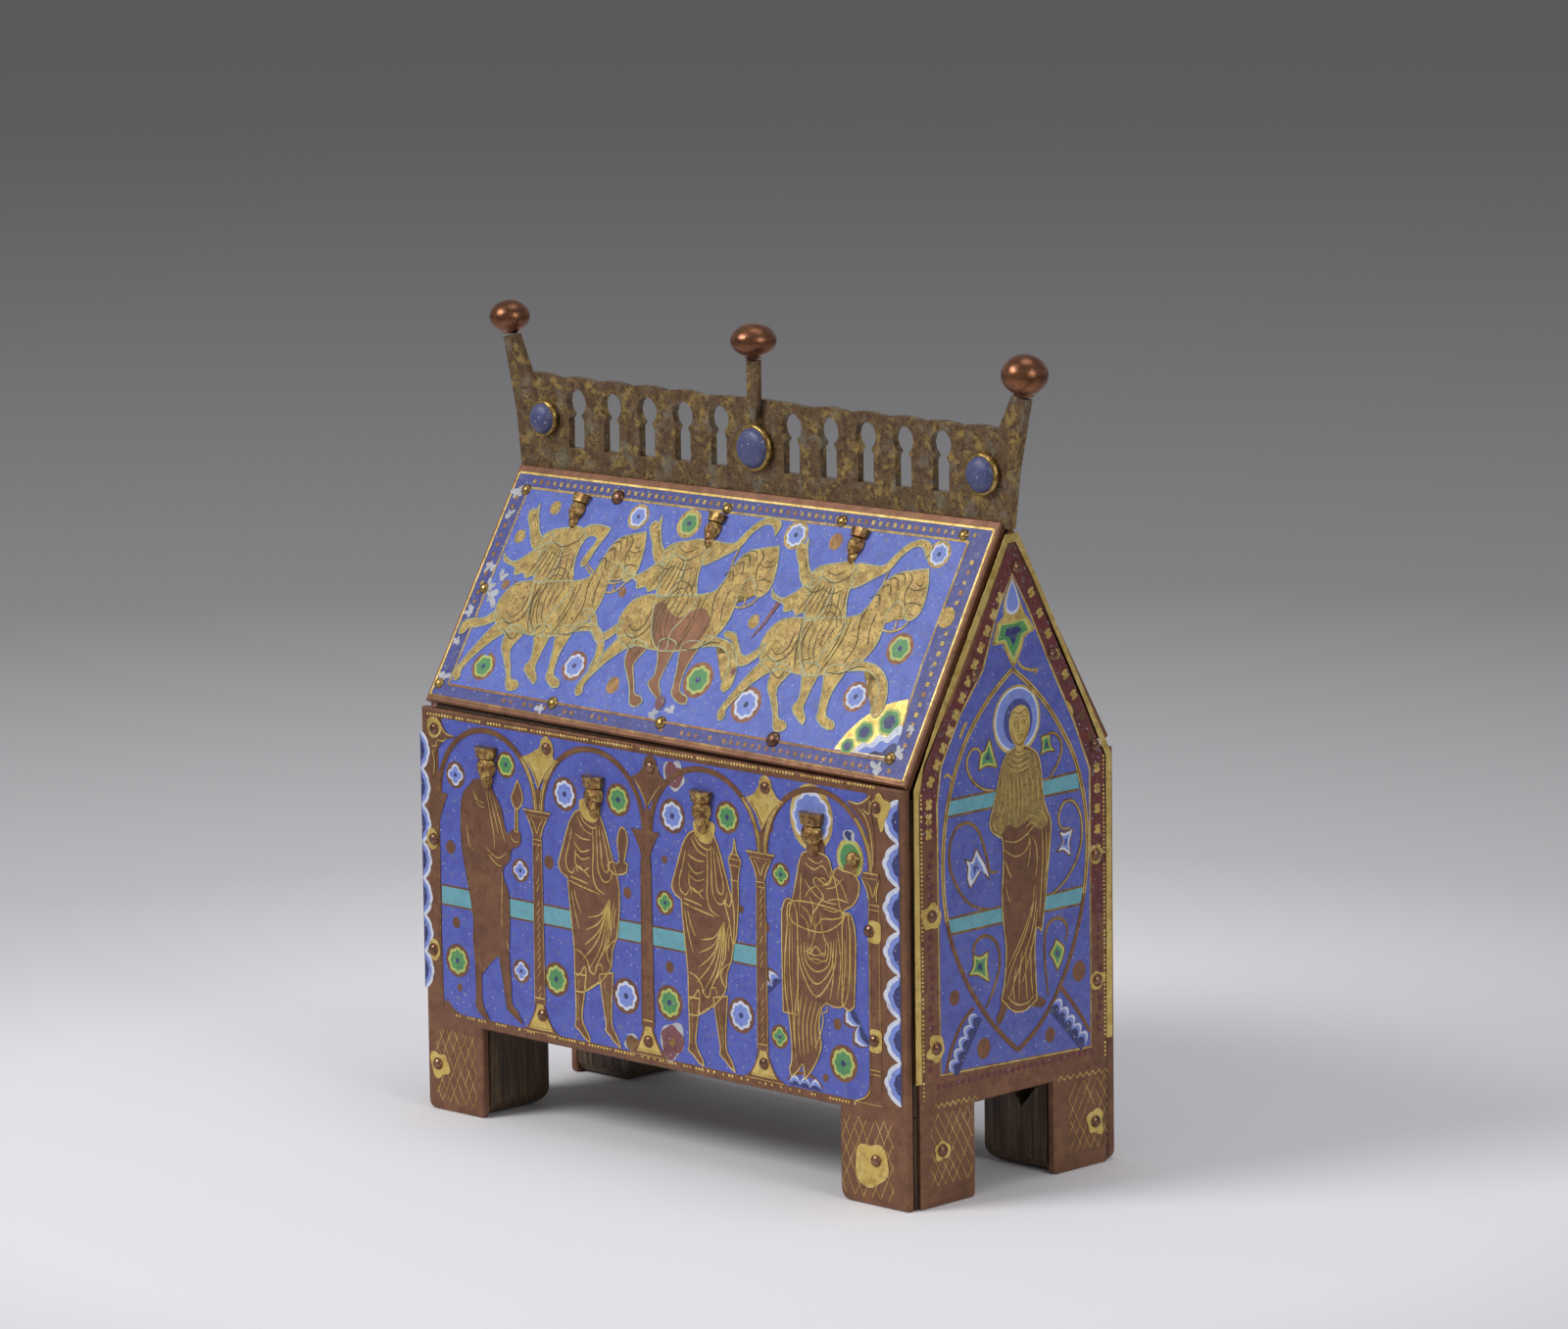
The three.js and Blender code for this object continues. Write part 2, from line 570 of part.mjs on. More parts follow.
function castHead({ width, height, depth, beard, crowned }) {
  const parts = [
    ellipsoid([width * 0.44, height * 0.34, depth * 0.8], [0, height * 0.46, depth * 0.22]),
    ellipsoid([width * 0.27, height * 0.26, depth * 0.5], [0, height * 0.12, depth * 0.1], 8, 5),
    ellipsoid([width * 0.09, height * 0.11, depth * 0.22], [0, height * 0.43, depth * 0.92], 6, 4),
    ellipsoid([width * 0.48, height * 0.3, depth * 0.45], [0, height * 0.5, depth * 0.12], 8, 6),
  ];
  if (beard) parts.push(ellipsoid([width * 0.26, height * 0.17, depth * 0.5], [0, height * 0.24, depth * 0.42], 8, 6));
  if (crowned) parts.push(crown(width, height * 0.72, depth));
  const sum = parts.map(solid).reduce((all, part) => all.add(part));
  const flatBack = solid(box([-width, -height, -depth * 2], [width, height * 2, 0]));
  return geometryOf(sum.subtract(flatBack));
}

const KING = { width: 6.2, height: 9.2, depth: 2.6, beard: true, crowned: true };
const LADY = { width: 6.8, height: 8.8, depth: 2.6, beard: false, crowned: true };
const CHILD = { width: 4.4, height: 5.6, depth: 1.8, beard: false, crowned: false };
const RIDER = { width: 5.0, height: 7.6, depth: 2.2, beard: true, crowned: true };

const wallHeads = {
  first_king_head: [KING, -57.2, 83.4], second_king_head: [KING, -20.6, 81.0],
  third_king_head: [KING, 15.6, 82.2], lady_head: [LADY, 51.6, 81.8], child_head: [CHILD, 64.6, 79.0],
};
for (const [name, [form, x, z]] of Object.entries(wallHeads)) {
  const frame = standing('front', face + CLEAR / 3).multiply(new THREE.Matrix4().makeTranslation(x, z, 0));
  node(name, castHead(form).applyMatrix4(frame), GILT);
}

const riderHeads = { first_rider_head: [-54.3, 49.9], second_rider_head: [-8.0, 50.3], third_rider_head: [38.7, 52.0] };
for (const [name, [x, t]] of Object.entries(riderHeads)) {
  node(name, castHead(RIDER).applyMatrix4(roofFrame('front', x, t, CLEAR / 3)), GILT);
}

// ---- Origin: the middle of the underside of the whole casket's box ------------------------------
const extent = new THREE.Box3().setFromObject(casket);
const middle = extent.getCenter(new THREE.Vector3());
casket.position.set(-middle.x, -middle.y, -extent.min.z);

export default casket;
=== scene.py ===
# %% [markdown]
# # A reliquary casket in champlevé enamel
# The casket is a small house: copper plates nailed over a wooden box, with hollows cut in the copper and
# filled with glass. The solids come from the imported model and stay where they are. This lesson dresses
# them: the enamel, the gilt drawing, the nails, the metal and the wood.

# %% Load the solids
import math
import random
import bmesh
import bpy
from mathutils import Matrix, Vector


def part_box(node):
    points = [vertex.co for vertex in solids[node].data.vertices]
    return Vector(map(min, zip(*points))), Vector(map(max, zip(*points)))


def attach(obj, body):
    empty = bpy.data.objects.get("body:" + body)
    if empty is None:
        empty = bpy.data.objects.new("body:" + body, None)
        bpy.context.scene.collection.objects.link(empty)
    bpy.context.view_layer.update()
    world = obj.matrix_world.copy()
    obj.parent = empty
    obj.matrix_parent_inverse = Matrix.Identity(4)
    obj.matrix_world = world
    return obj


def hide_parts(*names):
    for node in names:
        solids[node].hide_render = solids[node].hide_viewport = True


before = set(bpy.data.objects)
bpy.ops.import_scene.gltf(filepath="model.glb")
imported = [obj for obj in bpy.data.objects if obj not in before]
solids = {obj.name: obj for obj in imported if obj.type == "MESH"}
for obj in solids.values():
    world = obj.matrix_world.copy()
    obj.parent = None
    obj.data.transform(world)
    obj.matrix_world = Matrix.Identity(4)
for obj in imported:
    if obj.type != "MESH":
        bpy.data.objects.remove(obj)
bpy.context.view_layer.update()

MM = 0.001

# %% [markdown]
# ## Where the plates are
# Every drawing below is made flat, in millimetres, on one plate: u runs to the right as you face the
# plate, v runs up it, and h stands out of it. A small function then carries (u, v, h) to its place in
# the room. The plates' places are read from the solids, so the drawing always lands on the metal.

# %% Find each plate's face
PLATE_THICK = 2.3

front_low, front_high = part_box("front_wall_plate")
back_low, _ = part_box("back_wall_plate")
right_low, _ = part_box("right_gable_plate")
_, left_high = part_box("left_gable_plate")

middle_x = (front_low[0] + front_high[0]) / 2 / MM
middle_y = (front_high[1] + back_low[1]) / 2 / MM
front_face = front_high[1] / MM - PLATE_THICK
back_face = back_low[1] / MM + PLATE_THICK
right_face = right_low[0] / MM + PLATE_THICK
left_face = left_high[0] / MM - PLATE_THICK
print("casket middle", round(middle_x, 3), round(middle_y, 3), "faces", front_face, right_face)


def on_front(u, v, h):
    return Vector((middle_x + u, front_face - h, v)) * MM


def on_back(u, v, h):
    return Vector((middle_x - u, back_face + h, v)) * MM


def on_right(u, v, h):
    return Vector((right_face + h, middle_y + u, v)) * MM


def on_left(u, v, h):
    return Vector((left_face - h, middle_y - u, v)) * MM

# %% [markdown]
# The ridge sags a little towards the left end, so each roof plate is slightly twisted, like a sheet of
# card held by three corners. Its surface is straight up the slope at every place along the casket, so
# two eave heights and two ridge heights describe it completely.

# %% Describe the twisted roof
ROOF_LENGTH = 160.2
EAVE_REACH, RIDGE_REACH = 34.9, 1.35
RIDGE_Z = (154.9, 158.0)
EAVE_Z = {"front": (101.2, 100.2), "rear": (102.0, 102.4)}


def roof_section(side, x):
    along = x / ROOF_LENGTH + 0.5
    eave_z = EAVE_Z[side][0] + (EAVE_Z[side][1] - EAVE_Z[side][0]) * along
    ridge_z = RIDGE_Z[0] + (RIDGE_Z[1] - RIDGE_Z[0]) * along
    run, rise = EAVE_REACH - RIDGE_REACH, ridge_z - eave_z
    length = math.hypot(run, rise)
    return eave_z, run / length, rise / length, length


def on_roof(side, x, v, h):
    eave_z, run, rise, _ = roof_section(side, x)
    reach = EAVE_REACH - v * run + h * rise
    sign = -1 if side == "front" else 1
    return Vector((middle_x + x, middle_y + sign * reach, eave_z + v * rise + h * run)) * MM


def on_front_roof(u, v, h):
    return on_roof("front", u, v, h)


def on_rear_roof(u, v, h):
    return on_roof("rear", -u, v, h)


print("slope lengths", round(roof_section("front", -80)[3], 2), round(roof_section("front", 80)[3], 2))

# %% [markdown]
# ## The camera
# The casket is seen from its front right corner and a little above, through a long lens, so that its
# upright edges stay almost parallel. The camera is placed before anything is dressed.

# %% Place the camera
azimuth, elevation, roll = (math.radians(a) for a in (44.349, 10.543, -0.752))
camera_distance = 2.0779
aim = Vector((middle_x + 7.686, middle_y, 115.40)) * MM
back = Vector((math.sin(azimuth) * math.cos(elevation), -math.cos(azimuth) * math.cos(elevation),
               math.sin(elevation)))
right = Vector((math.cos(azimuth), math.sin(azimuth), 0))
up = back.cross(right)
level_right = right * math.cos(roll) + up * math.sin(roll)
level_up = up * math.cos(roll) - right * math.sin(roll)

camera_data = bpy.data.cameras.new("camera")
camera_data.lens = 200.64
camera_data.sensor_width = 36.0
camera_data.clip_end = 50.0
camera = bpy.data.objects.new("camera", camera_data)
camera.matrix_world = Matrix.Translation(aim + back * camera_distance) @ Matrix(
    (level_right, level_up, back)).transposed().to_4x4()
bpy.context.scene.collection.objects.link(camera)
bpy.context.scene.camera = camera
print("camera at", tuple(round(c, 3) for c in camera.location))

# %% [markdown]
# ## Shader groups
# Old enamel and old gilding are never one flat colour. Three small effects come back in almost every
# finish, so each is built once as a node group: a fine grain like ground glass, broad patches where
# the surface has worn or darkened, and tiny pits. Each reads object coordinates, so that the pattern
# stays fixed in the piece. The groups only put out masks and heights.

# %% A helper for building node trees
def add(tree, kind, **settings):
    node = tree.nodes.new(kind)
    for name, value in settings.items():
        if name in node.inputs:
            node.inputs[name].default_value = value
        else:
            setattr(node, name, value)
    return node


def new_group(name, inputs, outputs):
    group = bpy.data.node_groups.new(name, "ShaderNodeTree")
    for label, value in inputs.items():
        socket = group.interface.new_socket(label, in_out="INPUT", socket_type="NodeSocketFloat")
        socket.default_value = value
    for label in outputs:
        group.interface.new_socket(label, in_out="OUTPUT", socket_type="NodeSocketFloat")
    return group, group.nodes.new("NodeGroupInput"), group.nodes.new("NodeGroupOutput")


def object_millimetres(tree):
    coordinates = add(tree, "ShaderNodeTexCoord")
    mapping = add(tree, "ShaderNodeMapping")
    mapping.inputs["Scale"].default_value = (1000, 1000, 1000)
    tree.links.new(coordinates.outputs["Object"], mapping.inputs["Vector"])
    return mapping.outputs["Vector"]


def stretched(tree, low, high, value):
    node = add(tree, "ShaderNodeMapRange", clamp=True)
    node.inputs["From Min"].default_value = low
    node.inputs["From Max"].default_value = high
    tree.links.new(value, node.inputs["Value"])
    return node.outputs["Result"]

# %% [markdown]
# The grain is a fine noise. The patches are a broad noise cut at a threshold, which gives ragged edges
# like wear. The pits are the middles of scattered cells. Each group has its own size and amount.

# %% Grain, patches and pits
def make_grain():
    tree, given, out = new_group("ground_glass_grain", {"Size": 0.35}, ("Mask",))
    inverse = add(tree, "ShaderNodeMath", operation="DIVIDE")
    inverse.inputs[0].default_value = 1.0
    tree.links.new(given.outputs["Size"], inverse.inputs[1])
    noise = add(tree, "ShaderNodeTexNoise", Detail=3.0, Roughness=0.65)
    tree.links.new(object_millimetres(tree), noise.inputs["Vector"])
    tree.links.new(inverse.outputs[0], noise.inputs["Scale"])
    tree.links.new(stretched(tree, 0.32, 0.68, noise.outputs["Fac"]), out.inputs["Mask"])
    return tree


def make_patches():
    tree, given, out = new_group("worn_patches", {"Size": 9.0, "Amount": 0.5}, ("Mask",))
    inverse = add(tree, "ShaderNodeMath", operation="DIVIDE")
    inverse.inputs[0].default_value = 1.0
    tree.links.new(given.outputs["Size"], inverse.inputs[1])
    noise = add(tree, "ShaderNodeTexNoise", Detail=6.0, Roughness=0.68, Distortion=0.35)
    tree.links.new(object_millimetres(tree), noise.inputs["Vector"])
    tree.links.new(inverse.outputs[0], noise.inputs["Scale"])
    threshold = add(tree, "ShaderNodeMapRange")
    threshold.inputs["To Min"].default_value = 0.72
    threshold.inputs["To Max"].default_value = 0.28
    tree.links.new(given.outputs["Amount"], threshold.inputs["Value"])
    above = add(tree, "ShaderNodeMath", operation="SUBTRACT")
    tree.links.new(noise.outputs["Fac"], above.inputs[0])
    tree.links.new(threshold.outputs["Result"], above.inputs[1])
    tree.links.new(stretched(tree, -0.04, 0.06, above.outputs[0]), out.inputs["Mask"])
    return tree


def make_pits():
    tree, given, out = new_group("small_pits", {"Spacing": 0.9, "Amount": 0.5}, ("Mask",))
    inverse = add(tree, "ShaderNodeMath", operation="DIVIDE")
    inverse.inputs[0].default_value = 1.0
    tree.links.new(given.outputs["Spacing"], inverse.inputs[1])
    cells = add(tree, "ShaderNodeTexVoronoi", Randomness=1.0)
    tree.links.new(object_millimetres(tree), cells.inputs["Vector"])
    tree.links.new(inverse.outputs[0], cells.inputs["Scale"])
    radius = add(tree, "ShaderNodeMath", operation="MULTIPLY")
    radius.inputs[1].default_value = 0.36
    tree.links.new(given.outputs["Amount"], radius.inputs[0])
    near = add(tree, "ShaderNodeMath", operation="SUBTRACT")
    tree.links.new(radius.outputs[0], near.inputs[0])
    tree.links.new(cells.outputs["Distance"], near.inputs[1])
    tree.links.new(stretched(tree, -0.02, 0.1, near.outputs[0]), out.inputs["Mask"])
    return tree


grain, patches, pits = make_grain(), make_patches(), make_pits()
print("shader groups:", grain.name, patches.name, pits.name)

# %% [markdown]
# ## Finishes
# Each finish is one material with its own Principled shader. `finish` mixes colours one over another
# through the masks of the groups, and the same masks drive roughness and a faint bump.

# %% A material with layers of colour
def effect(tree, group, **values):
    node = add(tree, "ShaderNodeGroup", node_tree=group)
    for label, value in values.items():
        node.inputs[label].default_value = value
    return node.outputs["Mask"]


def finish(name, base, layers, roughness=(0.35, 0.5), metallic=0.0, bump=0.05, bump_size=0.4,
           coat=0.0, specular=0.5):
    """base is a colour, and layers are (colour, strength, group, values) laid over it in turn."""
    material = bpy.data.materials.new(name)
    material.use_nodes = True
    tree = material.node_tree
    shader = tree.nodes["Principled BSDF"]
    shader.inputs["Metallic"].default_value = metallic
    shader.inputs["Specular IOR Level"].default_value = specular
    shader.inputs["Coat Weight"].default_value = coat
    shader.inputs["Coat Roughness"].default_value = 0.12
    colour = None
    for over, strength, group, values in layers:
        mask = effect(tree, group, **values)
        share = add(tree, "ShaderNodeMath", operation="MULTIPLY")
        share.inputs[1].default_value = strength
        tree.links.new(mask, share.inputs[0])
        mix = add(tree, "ShaderNodeMix", data_type="RGBA")
        tree.links.new(share.outputs[0], mix.inputs[0])
        if colour is None:
            mix.inputs[6].default_value = (*base, 1)
        else:
            tree.links.new(colour, mix.inputs[6])
        mix.inputs[7].default_value = (*over, 1)
        colour = mix.outputs[2]
    tree.links.new(colour, shader.inputs["Base Color"])
    rough_mask = effect(tree, patches, Size=3.0, Amount=0.5)
    rough = add(tree, "ShaderNodeMapRange")
    rough.inputs["To Min"].default_value, rough.inputs["To Max"].default_value = roughness
    tree.links.new(rough_mask, rough.inputs["Value"])
    tree.links.new(rough.outputs["Result"], shader.inputs["Roughness"])
    relief = add(tree, "ShaderNodeBump", Strength=bump)
    relief.inputs["Distance"].default_value = 0.0004
    tree.links.new(effect(tree, grain, Size=bump_size), relief.inputs["Height"])
    tree.links.new(relief.outputs["Normal"], shader.inputs["Normal"])
    return material

# %% [markdown]
# Colours are written as they look on screen, from 0 to 255, and turned into the linear values that the
# shader works with.

# %% Mix the enamels
def seen(red, green, blue):
    def linear(c):
        c /= 255
        return c / 12.92 if c <= 0.04045 else ((c + 0.055) / 1.055) ** 2.4
    return tuple(linear(c) for c in (red, green, blue))


def enamel(name, base, light, dark, **more):
    return finish(name, base, [
        (light, 0.55, grain, {"Size": 0.42}),
        (dark, 0.35, patches, {"Size": 5.0, "Amount": 0.45}),
        (seen(176, 180, 196), 0.75, pits, {"Spacing": 1.9, "Amount": 0.42}),
        (seen(120, 118, 120), 0.5, patches, {"Size": 1.4, "Amount": 0.3}),
        (dark, 0.7, pits, {"Spacing": 0.8, "Amount": 0.35}),
    ], roughness=(0.3, 0.45), bump=0.12, **more)


lapis = enamel("lapis_enamel", seen(66, 78, 168), seen(106, 118, 200), seen(52, 58, 142))
roof_lapis = enamel("roof_lapis_enamel", seen(74, 92, 184), seen(120, 140, 212), seen(58, 68, 156))
gable_lapis = enamel("gable_lapis_enamel", seen(74, 84, 164), seen(104, 114, 190), seen(54, 58, 138))
night_blue = enamel("night_blue_enamel", seen(38, 42, 96), seen(64, 70, 134), seen(28, 30, 74))
border_blue = enamel("border_blue_enamel", seen(52, 56, 128), seen(96, 104, 168), seen(44, 46, 104))
pale_blue = enamel("pale_blue_enamel", seen(112, 132, 206), seen(142, 160, 222), seen(92, 108, 186))
white = enamel("white_enamel", seen(204, 208, 222), seen(226, 228, 236), seen(164, 172, 204))
turquoise = enamel("turquoise_enamel", seen(94, 158, 170), seen(120, 180, 188), seen(74, 138, 154))
green = enamel("green_enamel", seen(70, 136, 76), seen(104, 162, 96), seen(48, 108, 84))
yellow = enamel("yellow_enamel", seen(178, 184, 92), seen(206, 206, 120), seen(128, 158, 82))
wine_red = enamel("wine_red_enamel", seen(92, 34, 34), seen(122, 48, 44), seen(58, 26, 26))
repair_red = enamel("repair_red_enamel", seen(110, 62, 66), seen(150, 88, 90), seen(84, 44, 44))
crust = enamel("chalky_crust", seen(168, 170, 176), seen(208, 208, 208), seen(120, 122, 140))
print("enamels mixed")

# %% [markdown]
# Worn gilt copper has three faces: bright gilding where nothing touched it, brown copper where hands
# rubbed the gold away, and pale green corrosion where two pieces meet.

# %% Mix the metals
def metal(name, base, light, dark, metallic=0.75, roughness=(0.32, 0.5), **more):
    return finish(name, base, [
        (light, 0.7, patches, {"Size": 7.0, "Amount": 0.45}),
        (dark, 0.6, patches, {"Size": 2.6, "Amount": 0.4}),
        (dark, 0.7, pits, {"Spacing": 1.0, "Amount": 0.5}),
    ], roughness=roughness, metallic=metallic, bump=more.pop("bump", 0.12), **more)


brown_copper = metal("brown_copper", seen(126, 88, 66), seen(142, 100, 72), seen(104, 70, 54), metallic=0.6)
rim_copper = metal("rim_copper", seen(132, 98, 68), seen(168, 134, 84), seen(104, 72, 52), metallic=0.7)
gilt = metal("bright_gilt", seen(222, 192, 110), seen(236, 212, 136), seen(182, 144, 78), metallic=0.85)
line_gilt = metal("gilt_lines", seen(214, 184, 104), seen(236, 212, 140), seen(156, 118, 66), metallic=0.7)
worn_gilt = finish("worn_gilt", seen(166, 138, 78), [
    (seen(112, 88, 54), 0.85, patches, {"Size": 2.0, "Amount": 0.5}),
    (seen(138, 92, 60), 0.6, patches, {"Size": 4.5, "Amount": 0.36}),
    (seen(184, 164, 104), 0.6, grain, {"Size": 0.5}),
    (seen(84, 64, 46), 0.8, pits, {"Spacing": 1.2, "Amount": 0.6}),
], roughness=(0.35, 0.55), metallic=0.6, bump=0.2)
fold_line = finish("dark_folds", seen(84, 72, 48), [
    (seen(112, 98, 62), 0.8, patches, {"Size": 1.6, "Amount": 0.45}),
], roughness=(0.5, 0.7), metallic=0.3)
dull_line = finish("grey_green_lines", seen(158, 166, 136), [
    (seen(186, 178, 122), 0.8, patches, {"Size": 2.0, "Amount": 0.5}),
    (seen(130, 132, 110), 0.8, patches, {"Size": 1.2, "Amount": 0.4}),
], roughness=(0.5, 0.7), metallic=0.3)
crest_metal = finish("crest_copper", seen(118, 94, 66), [
    (seen(176, 148, 84), 0.8, patches, {"Size": 4.2, "Amount": 0.4}),
    (seen(86, 64, 50), 0.85, patches, {"Size": 1.6, "Amount": 0.42}),
    (seen(134, 128, 112), 0.6, patches, {"Size": 6.0, "Amount": 0.36}),
    (seen(64, 50, 42), 0.8, pits, {"Spacing": 1.1, "Amount": 0.6}),
], roughness=(0.32, 0.6), metallic=0.72, bump=0.3)
knob_copper = finish("knob_copper", seen(124, 82, 58), [
    (seen(150, 100, 66), 0.6, patches, {"Size": 5.0, "Amount": 0.45}),
    (seen(92, 60, 46), 0.7, patches, {"Size": 2.0, "Amount": 0.4}),
    (seen(60, 42, 36), 0.8, pits, {"Spacing": 1.4, "Amount": 0.35}),
], roughness=(0.2, 0.34), metallic=0.85, bump=0.08)
nail_copper = finish("nail_copper", seen(122, 88, 70), [
    (seen(160, 124, 96), 0.7, patches, {"Size": 2.5, "Amount": 0.4}),
    (seen(78, 60, 48), 0.8, patches, {"Size": 1.2, "Amount": 0.4}),
], roughness=(0.2, 0.36), metallic=0.85, bump=0.1)
boss_enamel = enamel("boss_enamel", seen(62, 66, 112), seen(98, 102, 140), seen(44, 46, 82))
nail_gilt = finish("nail_gilt", seen(176, 146, 84), [
    (seen(110, 84, 58), 0.8, patches, {"Size": 1.4, "Amount": 0.45}),
], roughness=(0.2, 0.36), metallic=0.85, bump=0.1)
cast_gilt = finish("cast_gilt", seen(150, 112, 68), [
    (seen(204, 176, 104), 0.9, patches, {"Size": 1.8, "Amount": 0.42}),
    (seen(88, 60, 44), 0.9, patches, {"Size": 1.3, "Amount": 0.4}),
], roughness=(0.25, 0.42), metallic=0.8, bump=0.2)
print("metals mixed")

# %% [markdown]
# The wood shows only at the feet and in a thin strip at each corner. It is dry and almost black-brown,
# and its grain stands upright: a noise squeezed sideways gives long vertical fibres.

# %% Stain the wood
def make_wood():
    material = bpy.data.materials.new("old_dark_wood")
    material.use_nodes = True
    tree = material.node_tree
    shader = tree.nodes["Principled BSDF"]
    mapping = add(tree, "ShaderNodeMapping")
    mapping.inputs["Scale"].default_value = (1400, 1400, 55)
    tree.links.new(add(tree, "ShaderNodeTexCoord").outputs["Object"], mapping.inputs["Vector"])
    fibres = add(tree, "ShaderNodeTexNoise", Scale=1.0, Detail=6.0, Roughness=0.62)
    tree.links.new(mapping.outputs["Vector"], fibres.inputs["Vector"])
    broad = effect(tree, patches, Size=7.0, Amount=0.5)
    ramp = add(tree, "ShaderNodeValToRGB")
    stops = ramp.color_ramp.elements
    stops[0].position, stops[0].color = 0.3, (*seen(38, 28, 18), 1)
    stops[1].position, stops[1].color = 0.72, (*seen(122, 98, 66), 1)
    middle = stops.new(0.52)
    middle.color = (*seen(80, 60, 38), 1)
    tree.links.new(fibres.outputs["Fac"], ramp.inputs["Fac"])
    mix = add(tree, "ShaderNodeMix", data_type="RGBA")
    share = add(tree, "ShaderNodeMath", operation="MULTIPLY")
    share.inputs[1].default_value = 0.45
    tree.links.new(broad, share.inputs[0])
    tree.links.new(share.outputs[0], mix.inputs[0])
    tree.links.new(ramp.outputs["Color"], mix.inputs[6])
    mix.inputs[7].default_value = (*seen(58, 44, 28), 1)
    tree.links.new(mix.outputs[2], shader.inputs["Base Color"])
    tree.links.new(stretched(tree, 0.9, 0.1, fibres.outputs["Fac"]), shader.inputs["Roughness"])
    relief = add(tree, "ShaderNodeBump", Strength=0.5)
    relief.inputs["Distance"].default_value = 0.0005
    tree.links.new(fibres.outputs["Fac"], relief.inputs["Height"])
    tree.links.new(relief.outputs["Normal"], shader.inputs["Normal"])
    return material


old_wood = make_wood()
for name in [n for n in solids if n.endswith(("_board", "_foot"))]:
    solids[name].data.materials.clear()
    solids[name].data.materials.append(old_wood)
print("wood on", sum(n.endswith(("_board", "_foot")) for n in solids), "solids")

# %% [markdown]
# ## A toolkit for flat drawing
# In champlevé work the figures are left standing while the ground round them is cut away and filled
# with glass, so everything ends flush. Here each field of glass and each figure is a closed sheet a few
# hundredths of a millimetre thick, laid at its own small height. A curve is drawn through a few named
# points; a point with a third value is a sharp corner.

# %% Draw a curve through a few points
def curve(points, closed=True, steps=5):
    flat = [Vector(point[:2]) for point in points]
    sharp = [len(point) > 2 for point in points]
    count = len(points)
    drawn = []
    for i in range(count if closed else count - 1):
        a, b = flat[i], flat[(i + 1) % count]
        before = flat[i - 1] if closed or i else a
        after = flat[(i + 2) % count] if closed or i + 2 < count else b
        leave = Vector((0, 0)) if sharp[i] else (b - before) / 2
        arrive = Vector((0, 0)) if sharp[(i + 1) % count] else (after - a) / 2
        pieces = max(1, min(steps, round((b - a).length / 0.5)))
        for k in range(pieces):
            t = k / pieces
            drawn.append(a * (2 * t**3 - 3 * t**2 + 1) + leave * (t**3 - 2 * t**2 + t)
                         + b * (3 * t**2 - 2 * t**3) + arrive * (t**3 - t**2))
    return drawn if closed else drawn + [flat[-1]]


def moved(points, right=0.0, rise=0.0, size=1.0, mirror=False):
    side = -1 if mirror else 1
    return [(right + side * size * point[0], rise + size * point[1], *point[2:]) for point in points]


def disc(centre, radius, count=20, tall=1.0):
    return [Vector((centre[0] + radius * math.cos(a), centre[1] + radius * tall * math.sin(a)))
            for a in (2 * math.pi * i / count for i in range(count))]


def petals(centre, radius, lobes, depth=0.16, each=6):
    count = lobes * each
    points = []
    for i in range(count):
        a = 2 * math.pi * i / count
        reach = radius * (1 - depth * (1 - abs(math.cos(lobes * a / 2))))
        points.append(Vector((centre[0] + reach * math.cos(a), centre[1] + reach * math.sin(a))))
    return points


def box(low_u, low_v, high_u, high_v):
    return [Vector(p) for p in ((low_u, low_v), (high_u, low_v), (high_u, high_v), (low_u, high_v))]

# %% [markdown]
# An inlay collects the sheets of one plate in one mesh. `fill` lays a closed sheet inside an outline.
# `line` draws an engraved stroke as a narrow ribbon that thins towards its ends, as a graver's cut does.
# On the twisted roof the sheets are cut into strips, so that they bend with the plate.

